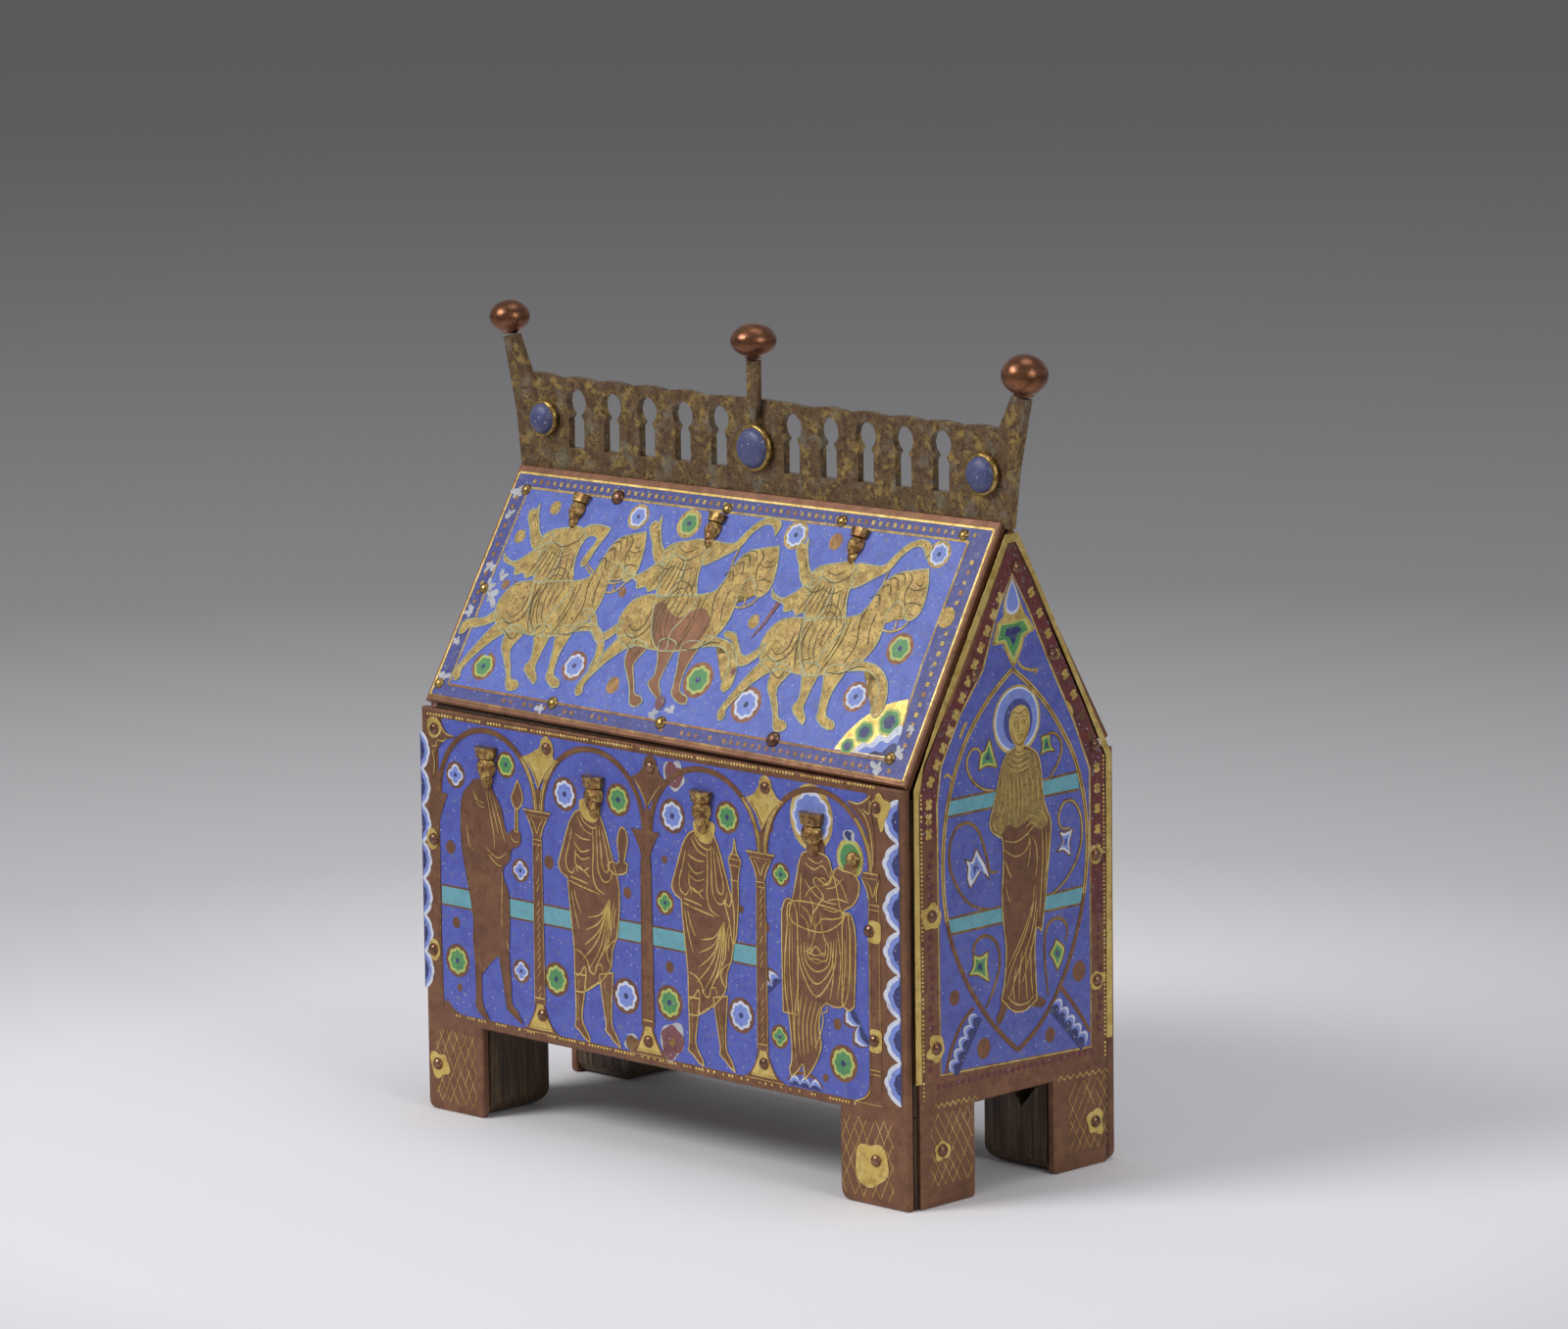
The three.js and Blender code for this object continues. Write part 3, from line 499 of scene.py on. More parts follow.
# %% The inlay
class Inlay:
    def __init__(self, name, place, curved=False):
        self.name, self.place, self.curved = name, place, curved
        self.mesh = bmesh.new()
        self.finishes = []
        self.laid = 0

    def slot_of(self, material):
        if material not in self.finishes:
            self.finishes.append(material)
        return self.finishes.index(material)

    def prism(self, loop, top, thick, material):
        slot = self.slot_of(material)
        area = sum(a[0] * b[1] - b[0] * a[1] for a, b in zip(loop, loop[1:] + loop[:1]))
        if area < 0:
            loop = loop[::-1]
        upper = [self.mesh.verts.new((p[0], p[1], top)) for p in loop]
        lower = [self.mesh.verts.new((p[0], p[1], top - thick)) for p in loop]
        faces = [self.mesh.faces.new(upper), self.mesh.faces.new(lower[::-1])]
        for i in range(len(loop)):
            j = (i + 1) % len(loop)
            faces.append(self.mesh.faces.new((upper[i], lower[i], lower[j], upper[j])))
        for face in faces:
            face.material_index = slot

    def fill(self, material, outline, height, thick=0.04):
        self.laid += 1
        loop = []
        for point in outline:
            if not loop or (Vector(point[:2]) - Vector(loop[-1])).length > 0.02:
                loop.append(tuple(point[:2]))
        if (Vector(loop[0]) - Vector(loop[-1])).length < 0.02:
            loop.pop()
        self.prism(loop, height + 0.00005 * (self.laid % 200), thick, material)

    def line(self, material, points, width=0.36, height=0.24, closed=False, taper=0.6, raw=False):
        self.laid += 1
        path = [Vector(p[:2]) for p in points] if raw else curve(points, closed)
        path = [p for i, p in enumerate(path) if i == 0 or (p - path[i - 1]).length > 0.03]
        count = len(path)
        if count < 2:
            return
        slot = self.slot_of(material)
        top = height + 0.00005 * (self.laid % 200)
        rings = []
        for i, p in enumerate(path):
            before = path[i - 1] if i or closed else p
            after = path[(i + 1) % count] if i + 1 < count or closed else p
            along = (after - before)
            along = along.normalized() if along.length > 1e-6 else Vector((1, 0))
            side = Vector((-along.y, along.x))
            end = min(i, count - 1 - i) / max(1, count - 1)
            half = width / 2 * (1 if closed else 1 - taper * max(0.0, 1 - end / 0.22))
            rings.append([self.mesh.verts.new((q.x, q.y, z)) for q, z in (
                (p + side * half, top), (p - side * half, top),
                (p - side * half, top - 0.03), (p + side * half, top - 0.03))])
        spans = count if closed else count - 1
        faces = []
        for i in range(spans):
            a, b = rings[i], rings[(i + 1) % count]
            for k in range(4):
                m = (k + 1) % 4
                faces.append(self.mesh.faces.new((a[k], a[m], b[m], b[k])))
        if not closed:
            faces.append(self.mesh.faces.new(rings[0][::-1]))
            faces.append(self.mesh.faces.new(rings[-1]))
        for face in faces:
            face.material_index = slot

    def finish(self, record_slot):
        if self.curved:
            bmesh.ops.triangulate(self.mesh, faces=self.mesh.faces[:])
            for i in range(-9, 10):
                everything = self.mesh.verts[:] + self.mesh.edges[:] + self.mesh.faces[:]
                bmesh.ops.bisect_plane(self.mesh, geom=everything, dist=1e-6,
                                       plane_co=(i * 8.5 + 0.03, 0, 0), plane_no=(1, 0, 0))
        bmesh.ops.recalc_face_normals(self.mesh, faces=self.mesh.faces[:])
        for vertex in self.mesh.verts:
            vertex.co = self.place(*vertex.co)
        data = bpy.data.meshes.new(self.name)
        self.mesh.to_mesh(data)
        self.mesh.free()
        for material in self.finishes:
            data.materials.append(material)
        piece = bpy.data.objects.new(self.name, data)
        bpy.context.scene.collection.objects.link(piece)
        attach(piece, "root")
        print(self.name, self.laid, "shapes,", len(data.polygons), "faces")
        return piece

# %% [markdown]
# ## Motifs that come back on every plate
# A rosette is a copper ring round one or two scalloped rings of glass and a dark eye. Clouds are strips
# of scallops shading from white to blue. Both are placed again and again, so each is one function.

# %% Rosettes, dots and clouds
HEIGHTS = {"ground": 0.05, "band": 0.08, "ring": 0.09, "glass": 0.11, "glass_top": 0.13, "eye": 0.15,
           "metal": 0.17, "line": 0.22}


def rosette(enamels, metals, centre, radius, colours, lobes=8, ring=brown_copper):
    outer, inner = colours
    metals.fill(ring, disc(centre, radius, 24), HEIGHTS["ring"])
    enamels.fill(outer, petals(centre, radius * 0.82, lobes, 0.14 if lobes > 4 else 0.3), HEIGHTS["glass"])
    enamels.fill(inner, petals(centre, radius * 0.63, lobes, 0.14 if lobes > 4 else 0.34),
        HEIGHTS["glass_top"])
    enamels.fill(night_blue, disc(centre, radius * 0.17, 10), HEIGHTS["eye"])


def dots(metals, places, radius=1.3, material=brown_copper):
    for u, v in places:
        metals.fill(material, disc((u, v), radius, 16, 1.1), HEIGHTS["ring"])


def cloud_edge(start, end, bumps, reach, ripple=0.14):
    """A scalloped line from start to end, bulging to its left, with small ripples on each bulge."""
    start, end = Vector(start), Vector(end)
    along = end - start
    side = Vector((-along.y, along.x)).normalized()
    points = []
    for i in range(bumps * 12 + 1):
        t = i / 12
        swell = abs(math.sin(math.pi * t)) ** 0.75
        swell += ripple * abs(math.sin(3 * math.pi * t)) * swell
        points.append(start + along * (i / (bumps * 12)) + side * reach * (0.25 + 0.75 * swell))
    return points


def cloud_strip(enamels, start, end, bumps, reach, colours):
    levels = ("glass", "glass_top", "eye")
    for share, colour, level in zip((1.0, 0.74, 0.42), colours, levels):
        edge = cloud_edge(start, end, bumps, reach * share)
        enamels.fill(colour, [Vector(start)] + edge + [Vector(end)], HEIGHTS[level])

# %% [markdown]
# Engravers filled plain metal with crossed strokes. Two rows of slanting ribbons are clipped to a
# rectangle, and a seeded chance leaves some of them out, as wear does. A blotch is a circle whose radius
# wavers: it serves for losses, repairs and patches of gilding.

# %% Hatching and blotches
def hatching(metals, low, high, spacing, slope, material, width=0.22, seed=1, missing=0.25):
    """Crossing rows of fine strokes inside a rectangle, some of them worn away."""
    chance = random.Random(seed)
    (u0, v0), (u1, v1) = low, high
    for lean in (slope, -slope):
        start = u0 - (v1 - v0) / slope
        while start < u1 + (v1 - v0) / slope:
            ends = []
            for v in (v0, v1):
                ends.append((start + (v - v0) / lean, v))
            a, b = Vector(ends[0]), Vector(ends[1])
            t0, t1 = 0.0, 1.0
            if abs(b.x - a.x) > 1e-6:
                ts = sorted(((u0 - a.x) / (b.x - a.x), (u1 - a.x) / (b.x - a.x)))
                t0, t1 = max(t0, ts[0]), min(t1, ts[1])
            if t1 - t0 > 0.08:
                cut = t0
                while cut < t1:
                    stop = min(t1, cut + chance.uniform(0.25, 0.6))
                    if chance.random() > missing and stop - cut > 0.03:
                        metals.line(material, [a.lerp(b, cut), a.lerp(b, stop)], width, 0.06, raw=True,
                            taper=0.4)
                    cut = stop + 0.015
            start += spacing


def blotch(centre, radius, seed, ragged=0.22, count=26):
    chance = random.Random(seed)
    waves = [(chance.uniform(0, 6.28), chance.uniform(0.4, 1)) for _ in range(4)]
    points = []
    for i in range(count):
        a = 2 * math.pi * i / count
        wobble = sum(w * math.sin((k + 2) * a + p) for k, (p, w) in enumerate(waves)) / 3
        points.append(Vector((centre[0] + radius * (1 + ragged * wobble) * math.cos(a),
                              centre[1] + radius * (1 + ragged * wobble) * math.sin(a))))
    return points

# %% [markdown]
# ## The front: an arcade of four bays
# Three standing kings bring gifts towards a seated woman with a child. The metal of the arcade is
# reserved: columns with capitals, and round arches that spring from them. Blue glass fills the bays.

# %% Lay the blue ground and the turquoise band
front_glass = Inlay("front_wall_enamel", on_front)
front_metal = Inlay("front_wall_figures", on_front)
figures = random.Random(11)

COLUMNS = (-75.2, -40.6, -3.8, 34.3, 70.8)
SPRING_Z, CROWN_Z, FIELD_FOOT, FIELD_HEAD = 79.2, 96.4, 24.9, 97.6

ground = [(-74.4, 33), (-72.9, 28), (-69.0, FIELD_FOOT + 0.3), (-64, FIELD_FOOT, 0), (64, 24.4, 0),
          (66.6, 25.4), (68.4, 28), (68.7, 33, 0), (68.9, 70, 0), (68.9, FIELD_HEAD, 0),
    (-73.0, FIELD_HEAD, 0),
          (-74.6, 90, 0)]
front_glass.fill(lapis, curve(ground), HEIGHTS["ground"])

BAND = (51.8, 56.1)
for left, right_end in ((-74.4, -62), (-52, -41), (-40, -28), (-14, -4), (-3, 10), (24.6, 34)):
    front_metal.fill(brown_copper, box(left, BAND[0] - 0.5, right_end, BAND[1] + 0.5),
        HEIGHTS["band"] - 0.01)
    front_glass.fill(turquoise, box(left + 0.2, BAND[0], right_end, BAND[1]), HEIGHTS["band"] + 0.01)
print("blue ground and turquoise band laid")

# %% [markdown]
# One column is a shaft with two gilt edges and a twist of fine strokes, a collar and a flaring capital.
# Two arches share a stem on the capital, part, and leave a small gilt triangle with a nail between them.

# %% Raise the columns and the arches
def gilt_or_worn(bright):
    return line_gilt if bright else rim_copper


def shaft(x, low, high, width, bright):
    front_metal.fill(brown_copper, [(x - width * 0.56, low), (x + width * 0.56, low),
                                    (x + width * 0.46, high), (x - width * 0.46, high)], HEIGHTS["metal"])
    for side in (-1, 1):
        front_metal.line(gilt_or_worn(bright), [(x + side * width * 0.52, low),
            (x + side * width * 0.42, high)],
                         0.34 if bright else 0.24, raw=True)
    v = low + 1.0
    while v < high - 2:
        if figures.random() < (0.8 if bright else 0.4):
            front_metal.line(gilt_or_worn(bright), [(x - 0.5, v), (x, v + 0.8), (x + 0.5, v + 2)], 0.2)
        v += 1.9
    for v in (high - 0.2, high - 1.4):
        front_metal.line(gilt_or_worn(bright), [(x - 1.5, v), (x + 1.5, v)], 0.3, raw=True, taper=0.2)
    front_metal.fill(brown_copper, box(x - 1.6, high - 1.5, x + 1.6, high), HEIGHTS["metal"])


def capital(x, bright, half=4.9, left=1.0, right_side=1.0):
    top, neck = SPRING_Z, 72.2
    cup = [(x - half * left, top, 0), (x - 3.7 * left, top - 1.6, 0), (x - 2.2 * left, 75),
        (x - 1.4, neck, 0),
           (x + 1.4, neck, 0), (x + 2.2 * right_side, 75), (x + 3.7 * right_side, top - 1.6, 0),
           (x + half * right_side, top, 0)]
    front_metal.fill(brown_copper, curve(cup), HEIGHTS["metal"] + 0.01)
    width = 0.36 if bright else 0.26
    line = gilt_or_worn(bright)
    front_metal.line(line, [(x - half * left + 0.2, top - 0.3),
        (x + half * right_side - 0.2, top - 0.3)], width, raw=True, taper=0.1)
    front_metal.line(line, [(x - 3.4 * left, top - 1.5), (x + 3.4 * right_side, top - 1.5)],
        width * 0.8, raw=True)
    front_metal.line(line, [(x - 3.5 * left, top - 1.7), (x - 2.0 * left, 75), (x - 1.2, neck + 0.2)],
        width)
    front_metal.line(line, [(x + 3.5 * right_side, top - 1.7), (x + 2.0 * right_side, 75),
        (x + 1.2, neck + 0.2)], width)
    front_metal.line(line, [(x - 2.2 * left, top - 2), (x - 0.9, 75.6), (x, 73.6), (x + 0.9, 75.6),
        (x + 2.2 * right_side, top - 2)], width * 0.8)

# %% [markdown]
# An arch is a half circle pulled taller. It is cut in short pieces, so that each stays a simple closed
# sheet, and its gilt lines are drawn in thirds, because the gilding is worn away in some thirds only.

# %% Bend the arches
def arch(left, right_end, brights):
    middle, half = (left + right_end) / 2, (right_end - left) / 2 - 0.9
    rise = CROWN_Z - SPRING_Z
    outer, inner, ridge = [], [], []
    for i in range(49):
        a = math.pi * i / 48
        outer.append(Vector((middle - (half + 0.75) * math.cos(a), SPRING_Z + (rise + 0.7) * math.sin(a))))
        inner.append(Vector((middle - (half - 0.75) * math.cos(a), SPRING_Z + (rise - 0.7) * math.sin(a))))
        ridge.append(Vector((middle - half * math.cos(a), SPRING_Z + rise * math.sin(a))))
    for i in range(0, 48, 4):
        front_metal.fill(brown_copper, outer[i:i + 5] + inner[i:i + 5][::-1], HEIGHTS["metal"] + 0.005)
    thirds = (ridge[:13], ridge[12:37], ridge[36:])
    outer_thirds = (outer[:13], outer[12:37], outer[36:])
    for k, bright in enumerate(brights):
        front_metal.line(gilt_or_worn(bright), thirds[k], 0.42 if bright else 0.28, raw=True, taper=0.1)
        if bright:
            front_metal.line(line_gilt, [p.lerp(q, 0.75) for p, q in zip(thirds[k], outer_thirds[k])],
                0.26, raw=True)


def spandrel(x, nail_x, bright):
    material = gilt if bright else brown_copper
    shape = [(x - 0.2, 84.4, 0), (x - 1.8, 88), (x - 5.2, 91.6, 0), (x - 2.6, 92.6), (nail_x - 2.2, 94.6),
             (nail_x - 1.5, 96.6), (nail_x, 97.5), (nail_x + 1.5, 96.6), (nail_x + 2.2, 94.6),
        (x + 5.2, 92.6),
             (x + 7.2, 92, 0), (x + 3.4, 88.6)]
    front_metal.fill(material, curve(shape), HEIGHTS["metal"] + 0.012)
    line = gilt_or_worn(bright)
    front_metal.line(line, shape[2:11], 0.44)
    front_metal.line(rim_copper if bright else line_gilt, [(x + 0.1, 85.4), (x - 1.4, 88.2),
        (x - 3.6, 90.9)], 0.26)
    front_metal.line(rim_copper if bright else line_gilt, [(x + 0.6, 85.4), (x + 2.6, 88.4),
        (x + 5.2, 91)], 0.26)
    stem = [(x - 1.5, SPRING_Z, 0), (x + 1.5, SPRING_Z, 0), (x + 1.4, 83), (x + 0.2, 85.2, 0),
        (x - 1.4, 83)]
    front_metal.fill(brown_copper, curve(stem), HEIGHTS["metal"] + 0.004)

# %% [markdown]
# Four arches over three whole columns make the arcade. The second column has lost its gilding.

# %% Set up the arcade
SPANDREL_NAILS = (-75.7, -36.9, -1.8, 36.2, 71.8)
brightness = ((False, False, True), (True, False, False), (False, False, True), (True, False, True))
for i in range(4):
    arch(COLUMNS[i] + (0.8 if i else 0), COLUMNS[i + 1] + (0.4 if i < 3 else 0), brightness[i])
for x, nail_x, bright in zip(COLUMNS[1:4], SPANDREL_NAILS[1:4], (True, False, True)):
    shaft(x, 31.6, 72.2, 3.4 if bright else 3.9, bright)
    capital(x, bright)
    spandrel(x + 0.6, nail_x, bright)
print("arches over", len(COLUMNS) - 1, "bays")

# %% [markdown]
# The foot of each column spreads over a gilt triangle with a nail. At the two ends the columns merge
# with the copper border, where a strip of scalloped clouds runs down each side of the plate.

# %% Column feet, borders and corners
def column_foot(x):
    flare = [(x - 1.6, 33, 0), (x + 1.6, 33, 0), (x + 2, 30.4), (x + 4.2, 26.4), (x + 7.2, 24.6, 0),
             (x - 6.6, 24.6, 0), (x - 4, 26.2), (x - 2, 30.2)]
    front_metal.fill(brown_copper, curve(flare), HEIGHTS["metal"] + 0.01)
    plate = [(x - 1.1, 31.6, 0), (x + 1.1, 31.6, 0), (x + 1.7, 29.6), (x + 4.4, 25.3, 0),
        (x - 4, 25.3, 0), (x - 1.7, 29.4)]
    front_metal.fill(gilt, curve(plate), HEIGHTS["metal"] + 0.02)
    front_metal.line(line_gilt, [(x - 6, 24.6), (x + 6.6, 24.5)], 0.4, raw=True)
    front_metal.line(line_gilt, [(x - 1.6, 33.1), (x + 1.6, 33.1)], 0.4, raw=True, taper=0.1)
    front_metal.line(rim_copper, [(x - 3.6, 25.7), (x + 3.9, 25.8)], 0.24, raw=True)


for x in COLUMNS[1:4]:
    column_foot(x)

# %% [markdown]
# At the left end the arcade runs into the copper border. A bracket fills the corner under the bead row,
# and a nail with a ring of gilding holds it.

# %% Lay the left border
front_metal.fill(brown_copper, box(-79.2, 25.2, -74.5, 97.4), HEIGHTS["ground"] + 0.01)
front_metal.line(rim_copper, [(-74.9, 34), (-74.7, 72)], 0.24)
front_metal.fill(brown_copper, curve([(-77.0, SPRING_Z, 0), (-71.4, SPRING_Z, 0), (-73.4, 75),
    (-74.3, 72.4, 0), (-77, 72.4, 0)]), HEIGHTS["metal"] + 0.01)
front_metal.line(rim_copper, [(-76.4, SPRING_Z - 0.4), (-71.8, SPRING_Z - 0.3)], 0.28, raw=True)
corner = [(-79, 97.2, 0), (-78.6, 93.6), (-77.4, 90.6), (-75.6, 87.6), (-75, 89.4), (-72.2, 92.6, 0),
    (-70.2, 92.9),
          (-68.2, 93.6, 0), (-71, 94), (-72.6, 95.6), (-74.2, 97.4, 0)]
front_metal.fill(brown_copper, curve(corner), HEIGHTS["metal"] + 0.015)
front_metal.fill(gilt, curve([(-78.2, 96.4), (-77.8, 93.6), (-76.4, 92.4), (-74.6, 92.9), (-73.3, 94.6),
    (-74.4, 97.2), (-76.6, 97.5)]), HEIGHTS["metal"] + 0.02)
front_metal.line(line_gilt, [(-78.2, 96.6), (-76.2, 97.5), (-74, 96.6), (-72.8, 94.8), (-71, 93.8),
    (-68.6, 93.7)], 0.4)
front_metal.line(line_gilt, [(-76.8, 90.4), (-75.2, 90.6), (-74.6, 92), (-72.6, 92), (-71.6, 92.9)], 0.34)
front_metal.line(line_gilt, [(-76.2, 83), (-75.8, 86.4), (-76.4, 89), (-75.4, 89.4)], 0.3)

# %% [markdown]
# At the right end half a column and half a capital stand against the border, with more gilding left
# than on the other side.

# %% Lay the right border
front_metal.fill(brown_copper, box(68.8, 24.8, 74.9, 97.6), HEIGHTS["ground"] + 0.01)
capital(COLUMNS[-1] - 0.2, True, 3.2, 1, 0.6)
for side in (-1.5, 1.7):
    front_metal.line(line_gilt, [(70.8 + side, 72), (70.8 + side, 67.2)], 0.3, raw=True)
    front_metal.line(line_gilt, [(70.8 + side * 0.95, 63), (70.8 + side, 41.8)], 0.26, raw=True)
    front_metal.line(rim_copper, [(70.8 + side, 37), (70.8 + side * 1.05, 27.4)], 0.26, raw=True)
for v in (70.4, 71.6, 31.4, 32.4):
    front_metal.line(line_gilt, [(69.2, v), (72.6, v)], 0.3, raw=True, taper=0.2)
front_metal.line(line_gilt, [(69.2, 27.6), (67.6, 25.6), (64, 24.2)], 0.36)
front_metal.line(line_gilt, [(64, 24.2), (73.2, 24.2)], 0.36, raw=True)
bracket = [(62.2, 95.2, 0), (66, 94.9), (68.4, 96), (70.4, 97.6, 0), (70, 95.2), (70.6, 92), (71.4, 86),
    (71.2, 80, 0),
           (70, 80, 0), (69.4, 86), (67.4, 90.4)]
front_metal.fill(brown_copper, curve(bracket), HEIGHTS["metal"] + 0.015)
front_metal.line(line_gilt, [(63, 95.2), (66, 94.9), (68.4, 95.9), (70.2, 97.4)], 0.4)
front_metal.line(line_gilt, [(66.4, 93.8), (68.6, 91.8), (70.2, 87.6), (70.8, 81)], 0.34)
front_metal.line(line_gilt, [(67.6, 93.9), (69.6, 93), (69.9, 96.2)], 0.34)
front_metal.fill(gilt, blotch((73.2, 95), 2.9, 4, 0.35), HEIGHTS["metal"] + 0.018)
front_metal.fill(gilt, curve([(72.4, 92.6), (74.8, 93.8), (74.2, 90.2), (73.2, 89.2)]),
    HEIGHTS["metal"] + 0.017)
for v, tall in ((65.2, 2.4), (39.4, 2.5)):
    front_metal.fill(gilt, curve([(69.0, v - tall), (72.4, v - tall), (72.9, v), (72.5, v + tall),
        (69.2, v + tall), (69.4, v)]), HEIGHTS["metal"] + 0.01)
for v in (67.3, 39.8):
    front_metal.fill(gilt, disc((-77.2, v), 2, 18, 1.35), HEIGHTS["metal"] + 0.01)

# %% [markdown]
# A strip of clouds closes the field at each end: scallops in three sizes, one over another, white
# outside, then pale blue, then night blue. Each scallop carries three small ripples.

# %% Run the clouds up both sides
def scallop_strip(x, toward, low, high, count, deep):
    """A vertical strip of clouds whose bumps point toward the middle of the plate."""
    step = (high - low) / count
    for share, colour, level in ((1.0, white, "glass"), (0.74, pale_blue, "glass_top"),
        (0.44, night_blue, "eye")):
        for i in range(count):
            v0 = high - i * step
            points = [(x, v0)]
            for k in range(25):
                t = k / 24
                ripple = 0.86 + 0.14 * abs(math.sin(3 * math.pi * t))
                swell = math.sin(math.pi * t) ** 0.7 * ripple
                inset = (1 - share) * step * 0.42
                points.append((x + toward * (0.9 * share + deep * share * swell),
                    v0 - inset - t * (step - 2 * inset)))
            points.append((x, v0 - step))
            front_glass.fill(colour, points, HEIGHTS[level])


front_metal.fill(brown_copper, box(74.6, 24, 79.4, 97.9), HEIGHTS["ground"] + 0.01)
scallop_strip(79, -1, 25, 97.4, 7, 4.6)
scallop_strip(-80.8, 1, 30, 93.4, 7, 2.4)
print("borders laid")

# %% [markdown]
# Rosettes and copper dots are strewn between the figures wherever the blue would be empty.

# %% Strew the rosettes
GREEN_FLOWER, BLUE_FLOWER = (yellow, green), (white, pale_blue)
for u, v, size, lobes in ((-51.1, 88.9, 3.3, 6), (-12.8, 85.4, 4, 8), (23.5, 86, 3.9, 8),
    (-69.2, 38.2, 4.1, 8),
                          (-34.9, 38.6, 4.2, 8), (3.4, 38.5, 4.3, 8), (60.4, 32.5, 4.5, 8),
    (2.4, 62.6, 3, 4),
                          (40.8, 74.7, 2.9, 4), (39.8, 35.8, 2.9, 4)):
    rosette(front_glass, front_metal, (u, v), size, GREEN_FLOWER, lobes)
for u, v, size, lobes in ((-68.7, 84.2, 3.3, 4), (-31, 84.4, 4.1, 8), (5.3, 83.9, 4.2, 8),
    (-46.7, 63.6, 2.9, 4),
                          (-47, 38.8, 2.9, 4), (-11.2, 38, 4.4, 8), (27.2, 39, 4.3, 8)):
    rosette(front_glass, front_metal, (u, v), size, BLUE_FLOWER, lobes)
dots(front_metal, ((-70.9, 66.1), (-36.8, 67), (36.9, 85.6)), 1.6)
dots(front_metal, ((-69.4, 47.6), (-10.2, 63.2), (35.6, 61.4), (3.6, 47.2), (58.6, 41.6)), 1.3)
dots(front_metal, ((-68.6, 31.6), (2.4, 73), (27.6, 64.6), (54.6, 28.2)), 0.9)

# clouds by the seat and half a rosette on the ground line
for start, end in (((35.6, 45), (40.4, 49.2)), ((69, 38.4), (63.2, 47))):
    front_metal.line(brown_copper, cloud_edge(start, end, 2, 4.2), 0.7, HEIGHTS["ring"], raw=True)
    cloud_strip(front_glass, start, end, 2, 3.6, (white, pale_blue, night_blue))
front_metal.line(brown_copper, cloud_edge((42, 24.9), (53.8, 24.6), 1, 3.4, 0), 0.8, HEIGHTS["ring"],
    raw=True)
cloud_strip(front_glass, (42.8, 24.9), (53, 24.7), 3, 2.4, (white, pale_blue, night_blue))

# old repairs: dull red fills where enamel had gone, with grey edges
for centre, size, seed, material in (((4.2, 29.6), 3.6, 3, repair_red),
    ((3.4, 27.2), 2.4, 6, repair_red), ((-9.4, 26.8), 2, 8, rim_copper),
                                     ((6, 93.8), 3, 9, repair_red)):
    front_glass.fill(crust, blotch(centre, size * 1.16, seed + 20, 0.3), HEIGHTS["glass"])
    front_glass.fill(material, blotch(centre, size, seed, 0.3), HEIGHTS["glass_top"])
front_glass.fill(rim_copper, blotch((4.2, 29), 1.1, 31), HEIGHTS["eye"])
front_glass.fill(crust, blotch((63.2, 86.4), 2, 33, 0.4), HEIGHTS["glass"])
front_glass.fill(night_blue, blotch((62.8, 87), 1.1, 34, 0.4), HEIGHTS["glass_top"])
print("rosettes strewn")

# %% [markdown]
# ## The standing kings
# Each king is one reserved silhouette with engraved folds. The same pattern serves two of them, as a
# workshop would reuse a drawing: a mantle over both shoulders, one arm bent to the chest, the other
# holding out a gift, a fan of folds from the hip, and thin hose with pointed feet.

# %% Draw a king
MANTLE = ((-4.2, 81.2), (-7, 78.6), (-8.6, 75), (-10.6, 69.6), (-11.4, 67), (-10.4, 65.2, 0),
    (-8.3, 64.2, 0),
          (-8, 60.4), (-7.2, 53.6), (-6.5, 47), (-6.4, 40.4), (-6.3, 36.8, 0), (-3.4, 36.9), (-0.4, 38.8),
          (1.9, 39.8, 0), (3.8, 41.6), (6, 44.4), (6.6, 48.6), (8, 51.6, 0), (8.8, 56), (9.2, 62),
    (8.8, 65.6),
          (7.8, 68.4), (6.4, 72.4), (5, 76.4), (3.4, 80), (1.6, 81.6))
BACK_LEG = ((-6.4, 41, 0), (-6.2, 34), (-6.3, 29.6), (-6.6, 28), (-5.2, 27.2), (-3.4, 25.6),
    (-1.6, 24.8, 0),
            (-2, 26.4), (-3.6, 28.6), (-4.2, 31), (-3.4, 36), (-2.6, 41, 0))
FRONT_LEG = ((1.9, 42, 0), (3.1, 35), (4, 30.2), (3.8, 28.6), (5.4, 27.4), (7, 26), (8.8, 25, 0),
             (7.6, 27.6), (6, 30), (5.9, 35), (6.6, 43, 0))
